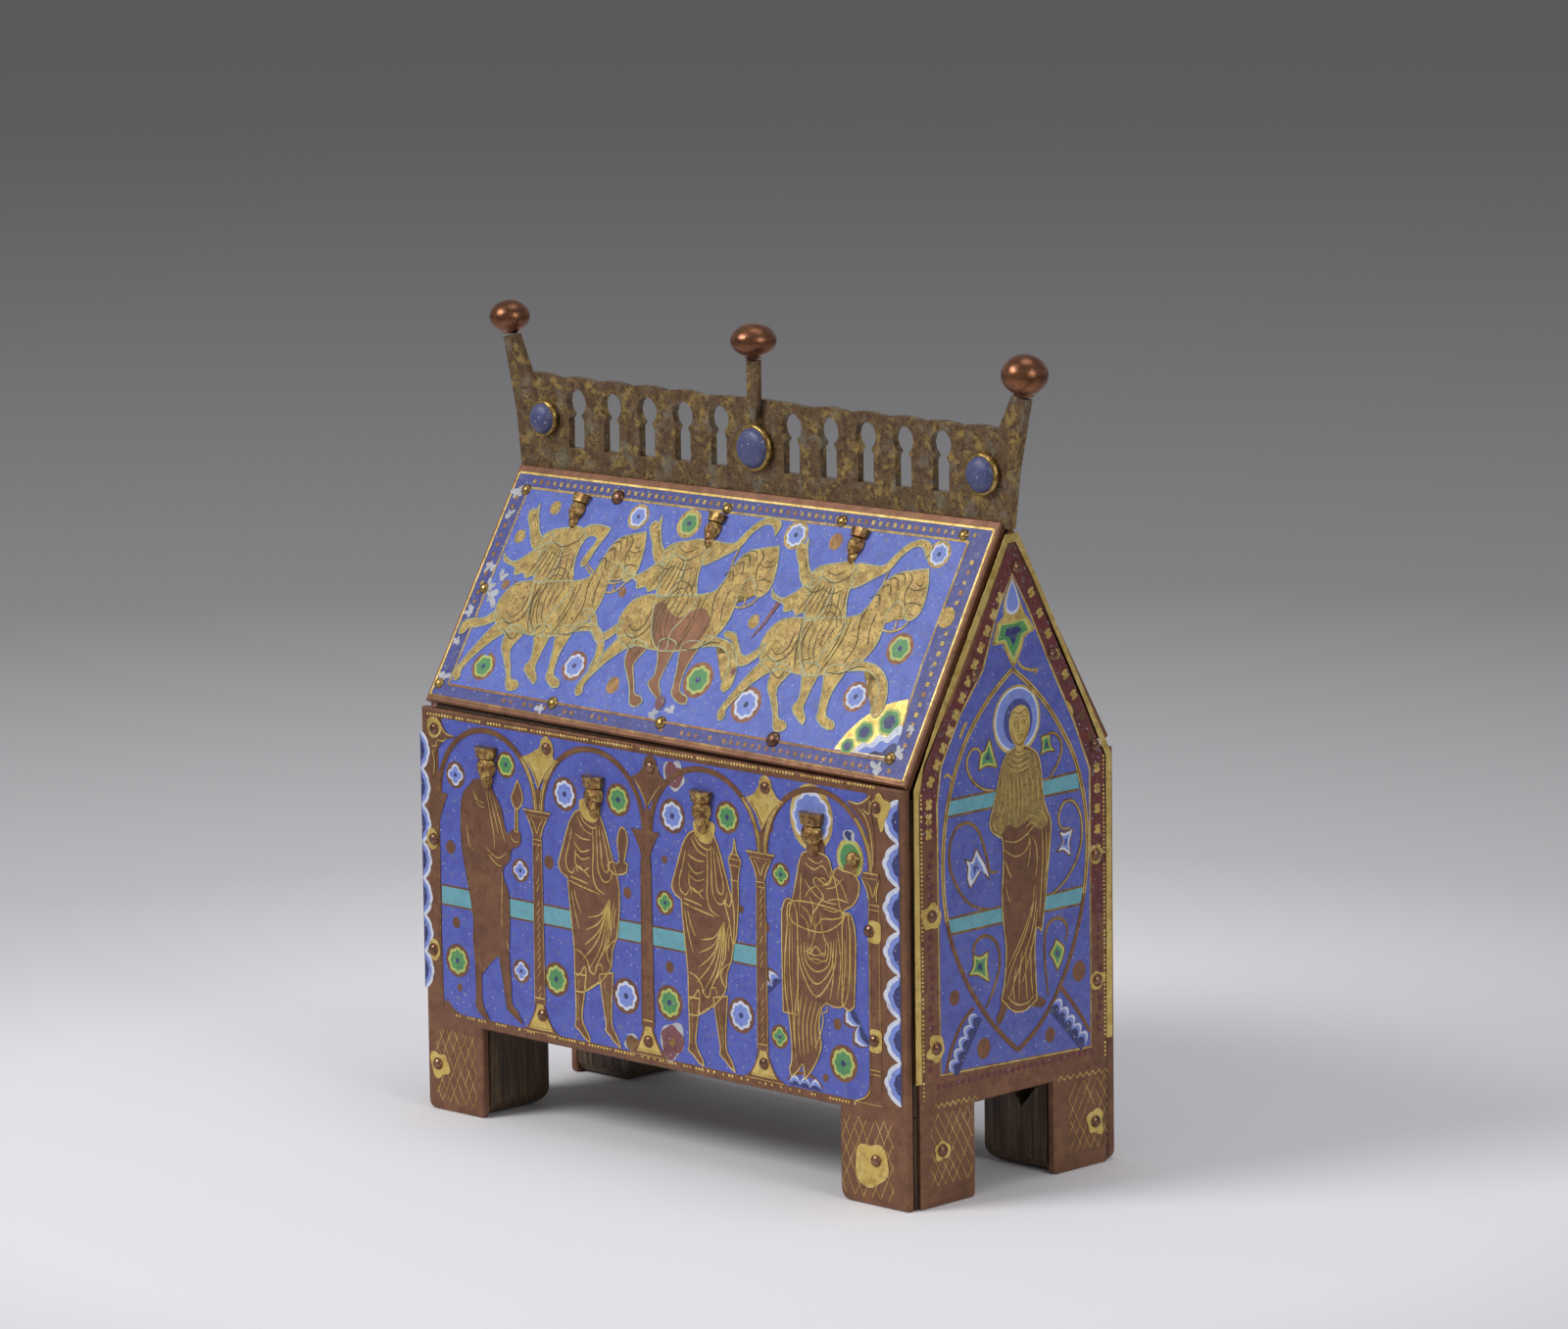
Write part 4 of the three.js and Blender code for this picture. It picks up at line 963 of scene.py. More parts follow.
SHARED_FOLDS = (
    ((-3.8, 80.4), (-2.2, 78.4), (0.4, 77.4), (1.8, 77.8)), ((-4.8, 79.6), (-2.6, 76.8), (0.2, 75.8)),
    ((0.5, 77.4), (0.6, 72), (0.3, 66.6), (1.4, 63.2), (4.2, 61.8)),
    ((1.8, 78.4), (1.9, 72), (2.2, 67.4), (4, 64.9), (6.2, 65.6), (7, 68)),
    ((2.6, 78.2), (3.2, 72.4), (3.6, 68.6), (4.8, 67.2), (5.8, 68.4), (5.2, 72), (3.6, 77.4)),
    ((-6.6, 76.6), (-7.6, 72.6), (-8.8, 69), (-8.4, 66.4), (-6.6, 65.6), (-5.8, 67)),
    ((-5.8, 75.4), (-3.2, 74.4), (-0.4, 74.4)), ((-6, 73.4), (-3.6, 71.2), (-0.6, 72)),
    ((-5.6, 70.6), (-3.2, 69.4), (-0.4, 70.2)), ((-5.8, 68.2), (-3, 66.6), (-0.8, 67.8)),
    ((-5.4, 71.6), (-5.6, 68.8), (-4.8, 66)), ((-4.4, 67.6), (-2.4, 66.4), (-0.6, 65.2)),
    ((-7.8, 63.6), (-4.4, 62.8), (-1, 62.2), (2.6, 61.6)), ((-7.4, 64.6), (-4.6, 64.2), (-1.4, 63.6)))
HIP = (5.9, 61)
FAN_ENDS = ((-1.8, 55.4), (-2.4, 52.2), (-2.8, 48.6), (-3.6, 44.8), (-1.6, 42.6), (0.8, 43.6),
    (2.8, 46.4), (4.6, 49.6))
HEMS = (((-6.2, 47), (-4, 46.4), (-2, 44.6), (-1.2, 42.4), (0.4, 41.8), (1.2, 44), (2.6, 44.4),
    (3.2, 42.6)),
        ((-6.2, 40.2), (-4.4, 41.4), (-3, 43.2), (-2.6, 41), (-3, 38.4), (-2.2, 37.2)),
        ((6.2, 44.8), (5, 46.2), (4.6, 48.4), (6.2, 50.2), (7.6, 51.2)),
    ((-2.2, 37.4), (0.4, 39), (1.8, 40.4)))


def outline(metals, points, x, material, width, height=HEIGHTS["line"]):
    metals.line(material, moved(points, x), width, height, closed=True)


def king(x, bright, mantle=MANTLE):
    for part, level in ((BACK_LEG, 0), (FRONT_LEG, 0), (mantle, 0.008)):
        front_metal.fill(brown_copper, curve(moved(part, x)), HEIGHTS["metal"] + 0.01 + level)
    material, width = (line_gilt, 0.36) if bright else (rim_copper, 0.24)
    for part in (BACK_LEG, FRONT_LEG, mantle):
        outline(front_metal, part, x, material, width)
    for fold in SHARED_FOLDS + HEMS:
        if bright or figures.random() < 0.25:
            front_metal.line(material, moved(fold, x), width)
    for i, end in enumerate(FAN_ENDS):
        if bright or i % 3 == 0:
            bend = ((HIP[0] + end[0]) / 2 + 0.8, (HIP[1] + end[1]) / 2 - 1.4 - 0.2 * i)
            front_metal.line(material, moved((HIP, bend, end), x), width * 0.9)
    for start, stop in (((-7.2, 61.8), (-4.6, 52)), ((-6.2, 61.8), (-3.8, 56)),
        ((7.4, 60.4), (6.2, 52)), ((8, 59), (7.2, 54))):
        if bright:
            front_metal.line(material, moved((start, ((start[0] + stop[0]) / 2 - 0.3,
                (start[1] + stop[1]) / 2), stop), x), width * 0.85)
    for start, stop in (((-5.2, 40), (-5.4, 29.6)), ((3.6, 40.4), (4.8, 30)), ((4.6, 38), (5.2, 31))):
        front_metal.line(material, moved((start, stop), x), width * 0.8, raw=True)


def gift_arm(x, bright, arm):
    material, width = (line_gilt, 0.34) if bright else (rim_copper, 0.26)
    front_metal.fill(brown_copper, curve(moved(arm, x)), HEIGHTS["metal"] + 0.022)
    outline(front_metal, arm, x, material, width)


king(-22.0, True)
king(16.3, True)
print("kings drawn with", len(SHARED_FOLDS) + len(HEMS) + len(FAN_ENDS), "folds each")

# %% [markdown]
# The three gifts differ: a torch, a round-topped vessel and a covered cup. The first king is rubbed
# almost smooth, so his silhouette is plainer and only a few strokes are left on it.

# %% Put the gifts in their hands and draw the worn king
gift_arm(-22.0, True, ((5.4, 69), (7, 67.4), (8.6, 67.2), (10.6, 67.6, 0), (11.8, 68.4), (12, 70.4, 0),
    (11, 70.4, 0), (11.4, 72.4),
                       (12.2, 75.4), (11.8, 77.8), (10.4, 79), (9.2, 77.4), (8.8, 74.4), (9.4, 71.4),
    (8.6, 69.8), (7, 70.2)))
front_metal.line(rim_copper, [(-12.6, 70.6), (-12, 73.4), (-11.6, 77)], 0.24)
gift_arm(16.3, True, ((5.8, 66), (7.4, 64.6), (8.4, 66.6), (8.6, 71), (7.9, 74.6, 0), (7.6, 76.2),
    (8.6, 77.4, 0), (9.2, 79), (9.5, 81.2), (9.9, 79),
                      (10.4, 77.4, 0), (11.5, 76.2), (11.3, 74.8, 0), (10.6, 71.2), (10.6, 66),
    (9.8, 58), (8.6, 56), (7.6, 61)))
for v in (71.2, 74.8, 76.3, 77.5):
    front_metal.line(line_gilt, [(24.0, v), (27.2, v - 0.1)], 0.3, raw=True, taper=0.3)

WORN_KING = ((-61.8, 84), (-63.4, 82.6), (-66, 80), (-66.9, 76), (-67, 70), (-66.6, 65.6), (-65.4, 60),
    (-64, 54),
             (-63.2, 48.6), (-63.4, 44), (-62.8, 38.4), (-62.9, 36.4, 0), (-60.8, 36, 0), (-58.4, 38.6),
    (-55.6, 41, 0), (-53.4, 42.4),
             (-51.4, 42.6), (-50.8, 48), (-50.6, 54), (-51, 58), (-52.6, 61), (-52.4, 63.6),
    (-50.4, 65.6), (-49.6, 68.4), (-47.4, 69.4),
             (-46.4, 70.8), (-46.4, 72.8, 0), (-48.6, 73.4), (-50.6, 72), (-51.8, 73.6), (-53, 78),
    (-55.4, 81.6), (-57.6, 84))
worn_legs = (((-62.8, 38, 0), (-62.7, 31), (-62.9, 28.2), (-61.6, 26.4), (-59.8, 25.2),
    (-58.2, 24.9, 0), (-59.4, 26.6), (-60.6, 28.8), (-60.9, 32), (-60.8, 37, 0)),
             ((-54.6, 42, 0), (-53.2, 35), (-52.4, 30.6), (-51.8, 28.6), (-49.4, 27.2),
                 (-46.6, 25.6, 0), (-48.2, 28.2), (-50.4, 30.4), (-50.6, 35), (-51.2, 43, 0)))
for part in worn_legs + (WORN_KING,):
    front_metal.fill(brown_copper, curve(part), HEIGHTS["metal"] + 0.01)
    front_metal.line(rim_copper, part, 0.22, closed=True)
for fold in (((-57.8, 82), (-56.8, 77), (-55.6, 71.6), (-55.4, 67.6)),
    ((-56.8, 81.4), (-55.4, 76.6), (-53.8, 71.6)),
             ((-55.8, 81), (-54.2, 77), (-52.4, 71.8), (-51.6, 69.8)),
    ((-62.4, 81.2), (-60.8, 79), (-58.6, 78.6)),
             ((-62, 80), (-60.4, 77.8), (-58.4, 77.6)), ((-64.8, 72.2), (-64.2, 68), (-62.4, 66.2)),
             ((-58.4, 67.8), (-55.8, 66.2), (-53.6, 65.8), (-51, 67.6)),
    ((-57.6, 66.2), (-55, 64.2), (-52.6, 63.8)),
             ((-52.9, 62.4), (-53.2, 55), (-53.4, 47.4)), ((-51.6, 45.6), (-51.2, 43.4)),
    ((-49.6, 71.6), (-48.4, 70.4), (-47, 70.8))):
    front_metal.line(line_gilt, fold, 0.24)
for part in (((-48.2, 73, 0), (-48, 78.8, 0), (-47.2, 78.8, 0), (-47.2, 73, 0)),
             ((-48.6, 79.4, 0), (-49.2, 81.2), (-48.2, 83.4), (-47, 85.8, 0), (-45.8, 83.4),
                 (-45.3, 81.2), (-46.2, 79.4, 0), (-47.4, 78.4))):
    front_metal.fill(brown_copper, curve(part), HEIGHTS["metal"] + 0.02)
    front_metal.line(line_gilt, part, 0.34, closed=True)
print("gifts given")

# %% [markdown]
# The woman sits on a round-topped seat with the child on her arm. Her skirt hangs in nested loops.

# %% Draw the woman and the child
SEAT = (((41.2, 42, 0), (41, 62), (41.6, 67.6), (43.4, 69.4), (45.6, 67.6), (46.2, 62), (46, 42, 0)),
        ((60.4, 46.6, 0), (60.6, 60), (60.8, 66.2), (62.6, 68.6), (64.4, 66.2), (64.9, 60),
            (64.2, 46.6, 0), (62.4, 45.4)))
SKIRT = ((44.6, 69), (43, 63), (42, 56), (41.9, 48), (43, 41.6), (43.8, 35), (43.7, 30.6), (43, 28.6),
    (43.6, 27, 0),
         (45.8, 28.6), (47.2, 30.4), (47.8, 28.8), (48, 26.8, 0), (50.4, 29.6), (52.4, 32.8),
    (53.4, 36), (52.8, 40.4), (53.6, 44.6), (55.4, 46.2, 0), (58, 45.6),
         (60.8, 46.4), (62.4, 50), (63, 58), (62.8, 66), (60.6, 68.6))
BODICE = ((49.4, 81.4), (47.4, 79.6), (46.2, 75.6), (45, 70.6), (43.6, 66), (45.6, 63.6), (54, 62.8),
    (60.6, 66.4), (59.8, 70),
          (58.8, 74.6), (57.4, 78.4), (55.6, 81.2))
CHILD = ((58.8, 78.6), (61.2, 78.4), (64.4, 78), (66.2, 76.2), (65.8, 73), (64, 70.6), (61.6, 69.2),
    (60.6, 67.4), (57.6, 66.4), (54.2, 66), (52, 64), (51, 66.2),
         (53.2, 69.4), (54.6, 71.6), (51.6, 74.4), (52.6, 75.6), (56.2, 74.4))
for part, level in ((SEAT[0], 0), (SEAT[1], 0), (SKIRT, 0.006), (BODICE, 0.01), (CHILD, 0.016)):
    front_metal.fill(brown_copper, curve(part), HEIGHTS["metal"] + 0.01 + level)
    front_metal.line(line_gilt, part, 0.36, closed=True)
for x, low, high in ((42.6, 45, 66.4), (44.4, 46, 66.2), (62, 49, 65.8), (63.4, 49, 65.6)):
    front_metal.line(line_gilt, [(x, low), (x, high)], 0.26, raw=True)
for i in range(5):
    reach, sink = 6.6 - i * 1.15, 47.2 + i * 3.0
    front_metal.line(line_gilt, [(52.6 - reach, 61.0 - 0.6 * i), (51.8 - reach * 0.72, 53.6 + 0.9 * i),
        (52.0, sink), (53.6 + reach * 0.6, 53.6 + 0.9 * i),
                                 (53.6 + reach * 0.8, 62.0 - 0.4 * i)], 0.32)
for i in range(6):
    top_x, foot_x = 46.0 + 1.5 * i, 45.0 + 1.35 * i
    front_metal.line(line_gilt, [(top_x, 49.2 - 1.1 * i if i < 4 else 46), (foot_x - 0.2, 40),
        (foot_x + 0.2, 31.6 + 0.5 * i)], 0.26)
for fold in (((43.8, 64), (43.4, 54), (44.2, 43), (44.8, 34)), ((59.2, 64), (60, 56), (58.8, 47.4)),
    ((57.2, 60), (57.6, 53), (56.4, 47)),
             ((61.4, 62), (61.4, 55), (60.6, 48)), ((53.4, 44.6), (54.2, 42), (53.2, 38.4),
                 (51.2, 34.6)), ((55, 46), (55.6, 44.4), (54, 43.6)),
             ((49.8, 80), (52.6, 79), (54.8, 80)), ((49, 78.6), (51.8, 77.4), (54.6, 78.6),
                 (57.4, 75.2)), ((47.6, 76), (47.2, 71), (46.8, 66.6)),
             ((48.8, 70.4), (50.4, 72.6), (53.2, 73.8)), ((48.4, 74.8), (50.2, 73), (52.6, 71.2),
                 (55.8, 70.2), (59.4, 70.2)), ((50.2, 70.8), (51.4, 68.2), (50.6, 65)),
             ((46.8, 66.4), (49.4, 64.4), (49.8, 61.2)), ((47.6, 68.2), (50, 66.6), (50.6, 63.6)),
    ((52, 66.6), (51.8, 62), (50.2, 58.4), (48.6, 57.6)),
             ((53.6, 67.4), (54.4, 62.6), (56.6, 58.8)), ((49, 57.6), (52, 57), (55.2, 58.2)),
    ((49.6, 56.2), (52.4, 55.2), (55, 56.4)),
             ((58, 76.6), (60.6, 74.8), (62.4, 71.4)), ((55.6, 73.4), (58.4, 74.2), (61, 76.6)),
    ((56, 70.6), (59.2, 71.4), (62.8, 71)), ((54.8, 68.6), (58, 68.2), (60.8, 69.2)),
             ((57.2, 78), (56.8, 75.6), (54.4, 73.8)), ((53, 75), (54.6, 75.8), (55.6, 75.2))):
    front_metal.line(line_gilt, fold, 0.28)
# haloes
front_metal.fill(line_gilt, disc((51, 89.6), 6.9, 40, 1.16), HEIGHTS["ring"])
front_glass.fill(white, petals((51, 89.6), 6.3, 10, 0.08), HEIGHTS["glass"])
front_glass.fill(pale_blue, petals((51, 89.6), 5.5, 10, 0.1), HEIGHTS["glass_top"])
front_metal.fill(line_gilt, disc((63.3, 81.6), 4.3, 32, 1.12), HEIGHTS["ring"])
front_glass.fill(yellow, disc((63.3, 81.6), 3.8, 28, 1.12), HEIGHTS["glass"])
front_glass.fill(green, disc((63.3, 81.6), 3.1, 28, 1.12), HEIGHTS["glass_top"])
front_metal.fill(brown_copper, curve([(50.4, 84.6), (50.2, 81), (52.4, 79.8), (55, 81.2),
    (54.6, 84.6)]), HEIGHTS["metal"] + 0.015)
front_metal.fill(brown_copper, curve([(61.6, 80), (61.4, 78), (63.4, 77.4), (64.8, 78.6),
    (64.4, 80.4)]), HEIGHTS["metal"] + 0.02)
for x in (-22, 16.3):
    front_metal.fill(gilt, curve(moved(((-3.4, 84), (-3.8, 81.4), (-2, 79.2), (1, 78.8), (2.6, 80.6),
        (2.8, 84)), x)), HEIGHTS["metal"] + 0.03)
print("woman and child drawn")

# %% [markdown]
# The copper between the field and the edges is punched with rows of small beads, and the legs of the
# plate are cross-hatched. Most of the gold is rubbed off there, except round the nails.

# %% Hatch the feet and set the front in place
for low, high, seed in (((-77.4, 2.4), (-63.4, 20.2), 2), ((59.6, 1.8), (76.2, 20.6), 5)):
    hatching(front_metal, low, high, 2.7, 2.0, line_gilt, 0.24, seed, 0.12)
front_metal.fill(gilt, blotch((-76.4, 11.2), 3.2, 41, 0.35), 0.05)
front_metal.fill(gilt, blotch((69, 9.6), 5.4, 43, 0.2, 34), 0.05)
front_glass.finish("blue_enamel")
front_metal.finish("gilt_copper")

# %% [markdown]
# ## The roof: three kings on horseback
# The same three kings ride over the roof. Here the figures keep most of their gold, but it is rubbed
# and spotted, and the engraved lines are filled with grey-green tarnish. The two roof panels are built
# anew as fine sheets, so that the drawing lies close on their slight twist.

# %% Build the two roof panels
ROOF_THICK, PANEL_STEPS = 2, 24
ROUNDED, EDGE_GAP = 0.45, 0.05


def panel_profile(length, drop):
    """The panel cut across, from the eave to the ridge, as (v, h)."""
    under = -ROOF_THICK + 0.1
    return [(EDGE_GAP, under), (EDGE_GAP, -ROUNDED), (ROUNDED, -drop), (length * 0.5, -drop),
            (length - ROUNDED, -drop), (length - EDGE_GAP, -ROUNDED), (length - EDGE_GAP, under)]


def roof_panel(name, side, replaced):
    mesh = bmesh.new()
    half = ROOF_LENGTH / 2
    rows = []
    for i in range(PANEL_STEPS + 1):
        x = -half + ROOF_LENGTH * i / PANEL_STEPS
        x = max(-half + 0.01, min(half - 0.01, x))
        length = roof_section(side, x)[3]
        near_end = i in (0, PANEL_STEPS)
        profile = panel_profile(length, ROUNDED if near_end else 0)
        rows.append([mesh.verts.new(on_roof(side, x, v, h)) for v, h in profile])
        if i == 0 or i == PANEL_STEPS - 1:
            edge_x = -half + ROUNDED + 0.01 if i == 0 else half - ROUNDED - 0.01
            profile = panel_profile(roof_section(side, edge_x)[3], 0)
            rows.append([mesh.verts.new(on_roof(side, edge_x, v, h)) for v, h in profile])
    for a, b in zip(rows, rows[1:]):
        for k in range(7):
            m = (k + 1) % 7
            mesh.faces.new((a[k], a[m], b[m], b[k]))
    mesh.faces.new(rows[0])
    mesh.faces.new(rows[-1][::-1])
    bmesh.ops.recalc_face_normals(mesh, faces=mesh.faces[:])
    data = bpy.data.meshes.new(name)
    mesh.to_mesh(data)
    mesh.free()
    data.materials.append(brown_copper)
    panel = bpy.data.objects.new(name, data)
    bpy.context.scene.collection.objects.link(panel)
    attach(panel, "root")
    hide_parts(replaced)
    return panel


roof_panel("front_roof_panel", "front", "front_roof_plate")
roof_panel("rear_roof_panel", "rear", "rear_roof_plate")
print("roof panels built")

# %% [markdown]
# The field of the roof is framed by gilt lines and a dark blue border set with small gilt squares.

# %% Frame the roof field
roof_glass = Inlay("front_roof_enamel", on_front_roof, curved=True)
roof_metal = Inlay("front_roof_figures", on_front_roof, curved=True)


def ridge_v(u, below=0.0):
    return roof_section("front", u)[3] - below


def roof_frame(glass, metals):
    left, right_end = -78.8, 78.8
    glass.fill(border_blue, [(left, 1.6), (right_end, 1.6), (right_end, ridge_v(78, 2.4)),
        (left, ridge_v(-78, 2.4))], HEIGHTS["ground"])
    glass.fill(roof_lapis, [(-74, 5), (73, 5.8), (72.0, ridge_v(72, 6.2)), (-73.6, ridge_v(-73, 6.2))],
        HEIGHTS["band"])
    frame_lines = (((-74.2, 4.8), (-2, 5.2), (73.4, 5.7)), ((73.2, 5.7), (71.8, 30),
        (72.3, ridge_v(72, 6))),
                   ((-74.2, 4.8), (-74.2, 30), (-73.6, ridge_v(-73, 6))),
        ((-73.6, ridge_v(-73, 6)), (0, ridge_v(0, 6)), (72.3, ridge_v(72, 6))))
    for i, path in enumerate(frame_lines):
        steps = [Vector(path[0]).lerp(Vector(path[1]),
            k / 9) for k in range(9)] + [Vector(path[1]).lerp(Vector(path[2]), k / 9) for k in range(10)]
        metals.line(rim_copper if i == 0 else worn_gilt, steps, 0.6, 0.13, raw=True, taper=0.0)
    outer = ((left, 1.5), (right_end, 1.5), (right_end, ridge_v(78, 2.3)), (left, ridge_v(-78, 2.3)))
    for i in range(4):
        a, b = Vector(outer[i]), Vector(outer[(i + 1) % 4])
        metals.line(rim_copper if i == 0 else line_gilt, [a.lerp(b, k / 16) for k in range(17)], 0.55,
            0.12, raw=True, taper=0.0)


def border_squares(metals, seed):
    chance = random.Random(seed)
    count = 0
    for i in range(64):
        u = -72.6 + i * 2.32
        for v, side in ((ridge_v(u, 4.2), "top"), (3.3, "foot")):
            worn = side == "foot" and (u < -56 or -18 < u < -2 or chance.random() < 0.2)
            if worn or u > 74:
                continue
            size = chance.uniform(0.42, 0.52)
            material = worn_gilt if side == "top" and chance.random() < 0.75 else rim_copper
            metals.fill(material, box(u - size, v - size * 1.1, u + size, v + size * 1.1), 0.11)
            count += 1
    for i in range(20):
        for u, low, gold in ((-76.6, 24, 0.3), (75.6, 7.4, 0.8)):
            v = low + i * 2.55
            if v > ridge_v(u, 5.4):
                continue
            size = chance.uniform(0.46, 0.6)
            material = worn_gilt if chance.random() < gold else rim_copper
            metals.fill(material, box(u - size, v - size, u + size, v + size), 0.11)
            count += 1
    return count


roof_frame(roof_glass, roof_metal)
print(border_squares(roof_metal, 5), "border squares")

# %% [markdown]
# One horse pattern serves three times. Its legs stride under a heavy body, and the neck arches over to
# a small head. The rider's cloak flies out behind, one hand is raised, the other holds the rein or
# reaches forward.

# %% Draw a horse
HORSE = ((-16.8, -7), (-18.6, -2.4), (-16.6, 2.4), (-12.4, 4.6), (-7, 5.2), (0, 6.2), (5, 7),
    (8.2, 8.6), (9.8, 12.6), (11, 16.6), (13.4, 19.4),
         (17.4, 20.8), (20.6, 21.7, 0), (21.8, 18.4), (22.6, 13.6), (22.2, 10.4), (20.6, 8.6),
    (19, 9.2), (18, 11.6), (16.2, 12.8), (14.6, 10.6),
         (14.8, 6), (14.6, 1.6), (12.8, -2.6), (9.6, -5.8), (4, -7.8), (-3, -8.6), (-9, -8.2), (-13, -8.8))
FAR_BACK = ((-12.6, -6), (-16.2, -7), (-19.6, -12), (-23, -18.6), (-23.8, -21.4), (-22.8, -23),
    (-21.4, -22.2), (-21.6, -19.6), (-18, -14.2), (-13.4, -9.8), (-10.6, -8.4))
NEAR_BACK = ((-11.2, -7), (-11.8, -12.2), (-9.2, -15.8), (-6.8, -19), (-5, -22.6), (-3, -23.2),
    (-1.2, -22), (-2.2, -20.6), (-4.6, -20), (-6.2, -17.2), (-8.4, -12.8), (-6.2, -8))
STIRRUP_LEG = ((-3, -6), (-1.4, -11), (-0.6, -14.6), (-1.6, -16.8), (0.2, -18.6), (3.6, -20.6, 0),
    (3.6, -18.8), (1.8, -16.4), (2, -12), (2.4, -6))
PLANTED = ((4.6, -6), (5.6, -12), (6.4, -16.4), (6.8, -18.6), (9.6, -20.4), (11.6, -20.2),
    (11.2, -18.6), (8.6, -17.2), (8, -12), (9.4, -5))
RAISED = ((9.6, -5.8), (13.2, -5.2), (16.2, -5.4), (19, -8.2), (19.6, -11.8), (19.2, -14.4),
    (20.6, -15.8), (22, -13.6), (21.6, -9.4), (20, -6), (17, -3.6), (13, -3), (10.6, -3.2))
TAIL_DOWN = ((-17.8, -3.6), (-20.8, -6.2), (-24.6, -7), (-27.4, -8.2), (-27.4, -11.2), (-25.8, -10.8),
    (-24.8, -9.4), (-21.6, -8.6), (-17.4, -6.6))
TAIL_CURL = ((-17.4, -2.6), (-20, -5.2), (-22.6, -6.6), (-25, -4.6), (-27.6, -1.6), (-31, -1.4),
    (-30.6, -2.6), (-28, -3.4), (-26.2, -6.4), (-23.2, -9), (-20.4, -8.2), (-17.4, -5.2))

# %% [markdown]
# The pattern is moved to its place and stretched forward, since the second and third horses stride
# further out. The harness, mane, haunch and belly are engraved over it, and brown specks show where the
# gilding has worn through.

# %% Place and engrave a horse
def strode(points, x, v, stretch):
    return [(x + (p[0] if p[0] < 5 else 5 + (p[0] - 5) * stretch), v + p[1], *p[2:]) for p in points]


def horse(x, v, stretch, tail, body, legs, seed):
    chance = random.Random(seed)
    for part, material, level in ((tail, body, 0), (FAR_BACK, legs[0], 0), (NEAR_BACK, legs[1], 0.004),
        (PLANTED, legs[2], 0.004),
                                  (RAISED, legs[3], 0.004), (HORSE, body, 0.01),
        (STIRRUP_LEG, legs[4], 0.016)):
        placed = strode(part, x, v, stretch)
        roof_metal.fill(material, curve(placed), HEIGHTS["metal"] + level)
        roof_metal.line(dull_line, placed, 0.34, closed=True)
    for path in (((-16, -5), (-12.2, -6.6), (-8.6, -4), (-7.8, 0.8), (-8.6, 4.8)),
        ((-15, -3.4), (-12.2, -4.8), (-9.8, -2.6), (-9.4, 1.4)),
                 ((9.4, 11), (8.6, 6), (9.6, 0.8), (8, -4.8)), ((12, 9.4), (11.6, 5.2), (12.6, 1)),
        ((10.4, 15), (12.6, 16.4), (13.6, 13.4)),
                 ((11.4, 17.4), (13.6, 18.2), (14.8, 15.6)), ((13, 19.2), (15.2, 19.4), (16, 17)),
        ((8.8, 12.4), (10.8, 13.6), (11.8, 11)),
                 ((16, 20.2), (17.6, 18.6), (17, 15), (18.2, 11.8)),
        ((17, 16.6), (19.4, 16), (21.6, 17)), ((18.2, 12.4), (20, 13), (22.2, 12.6)),
                 ((18.8, 17.8), (20, 17.2), (20.6, 18)), ((19.6, 10.2), (20.8, 10)),
        ((-13.4, -8.2), (-9.6, -10.4), (-8.2, -8.8)),
                 ((4.6, -7), (8.4, -6.8), (11.6, -4.6), (14.6, -4.2)),
        ((6.2, 6.8), (5.6, 0.6), (4.2, -4), (2.6, -7.6)), ((-6, 4.8), (-7.4, 0), (-6.6, -4.4), (-5, -7.8)),
                 ((-5, 4.6), (-6.2, -0.2), (-5.2, -5)), ((4.8, 5.6), (4.6, 0.8), (3, -4.4))):
        roof_metal.line(fold_line, strode(path, x, v, stretch), 0.3)
    for _ in range(22):
        spot = chance.choice(((-13, 0, 4), (10, 0, 3), (-11, -4, 3), (11, 8, 3)))
        centre = strode([(spot[0] + chance.uniform(-1, 1) * spot[2],
            spot[1] + chance.uniform(-1, 1) * spot[2])], x, v, stretch)[0]
        roof_metal.fill(rim_copper, disc(centre, chance.uniform(0.22, 0.45), 7), HEIGHTS["metal"] + 0.018)

# %% [markdown]
# The rider is one more pattern: a seated body, a cloak in the wind, a raised hand, and one of two
# forward arms. The folds are dark, because tarnish has filled the strokes.

# %% Draw a rider
SEATED = ((-6.6, 19.4), (-10.2, 18.4), (-12.4, 16.6), (-11.8, 13.6), (-10.8, 10), (-9.6, 5), (-8.6, 0),
    (-6, -5.6), (-2.6, -8.4), (0, -7.8),
          (-0.6, -3.8), (1.6, 0.2), (3.6, 4.2), (2.6, 7.6), (1.2, 11.2), (1, 15.2), (1.6, 18.4),
    (-1.6, 20.4))
HAND_UP = ((-9.6, 17.8), (-12, 16.2), (-14.2, 17.6), (-15.8, 20.2), (-16.8, 22), (-17.6, 24.8, 0),
    (-18.2, 22.8), (-19.2, 23.2), (-20.2, 21.8), (-19.4, 20),
           (-17.4, 17.4), (-15.4, 14.2), (-13, 12.6), (-9.6, 13.6))
CLOAK = ((-9, 15.4), (-12.8, 13.4), (-16, 10.6), (-18.6, 9), (-21.4, 9.6), (-23.2, 11, 0), (-22, 8.8),
    (-19.8, 8.2), (-17.6, 7.4), (-16.8, 5.8), (-14.2, 6.6),
         (-12.8, 5.4), (-10.6, 6.4), (-9.4, 4.8), (-6.4, 5.2), (-4.4, 9.4), (-4.6, 14.6))
HAND_ON_REIN = ((0, 20.2), (4, 21.6), (8.6, 21.2, 0), (8.2, 19.4), (6.6, 16), (5.2, 11.4), (3.6, 10.8),
    (3.8, 13.4), (5.6, 18), (2.6, 18.4), (0.8, 16.4))
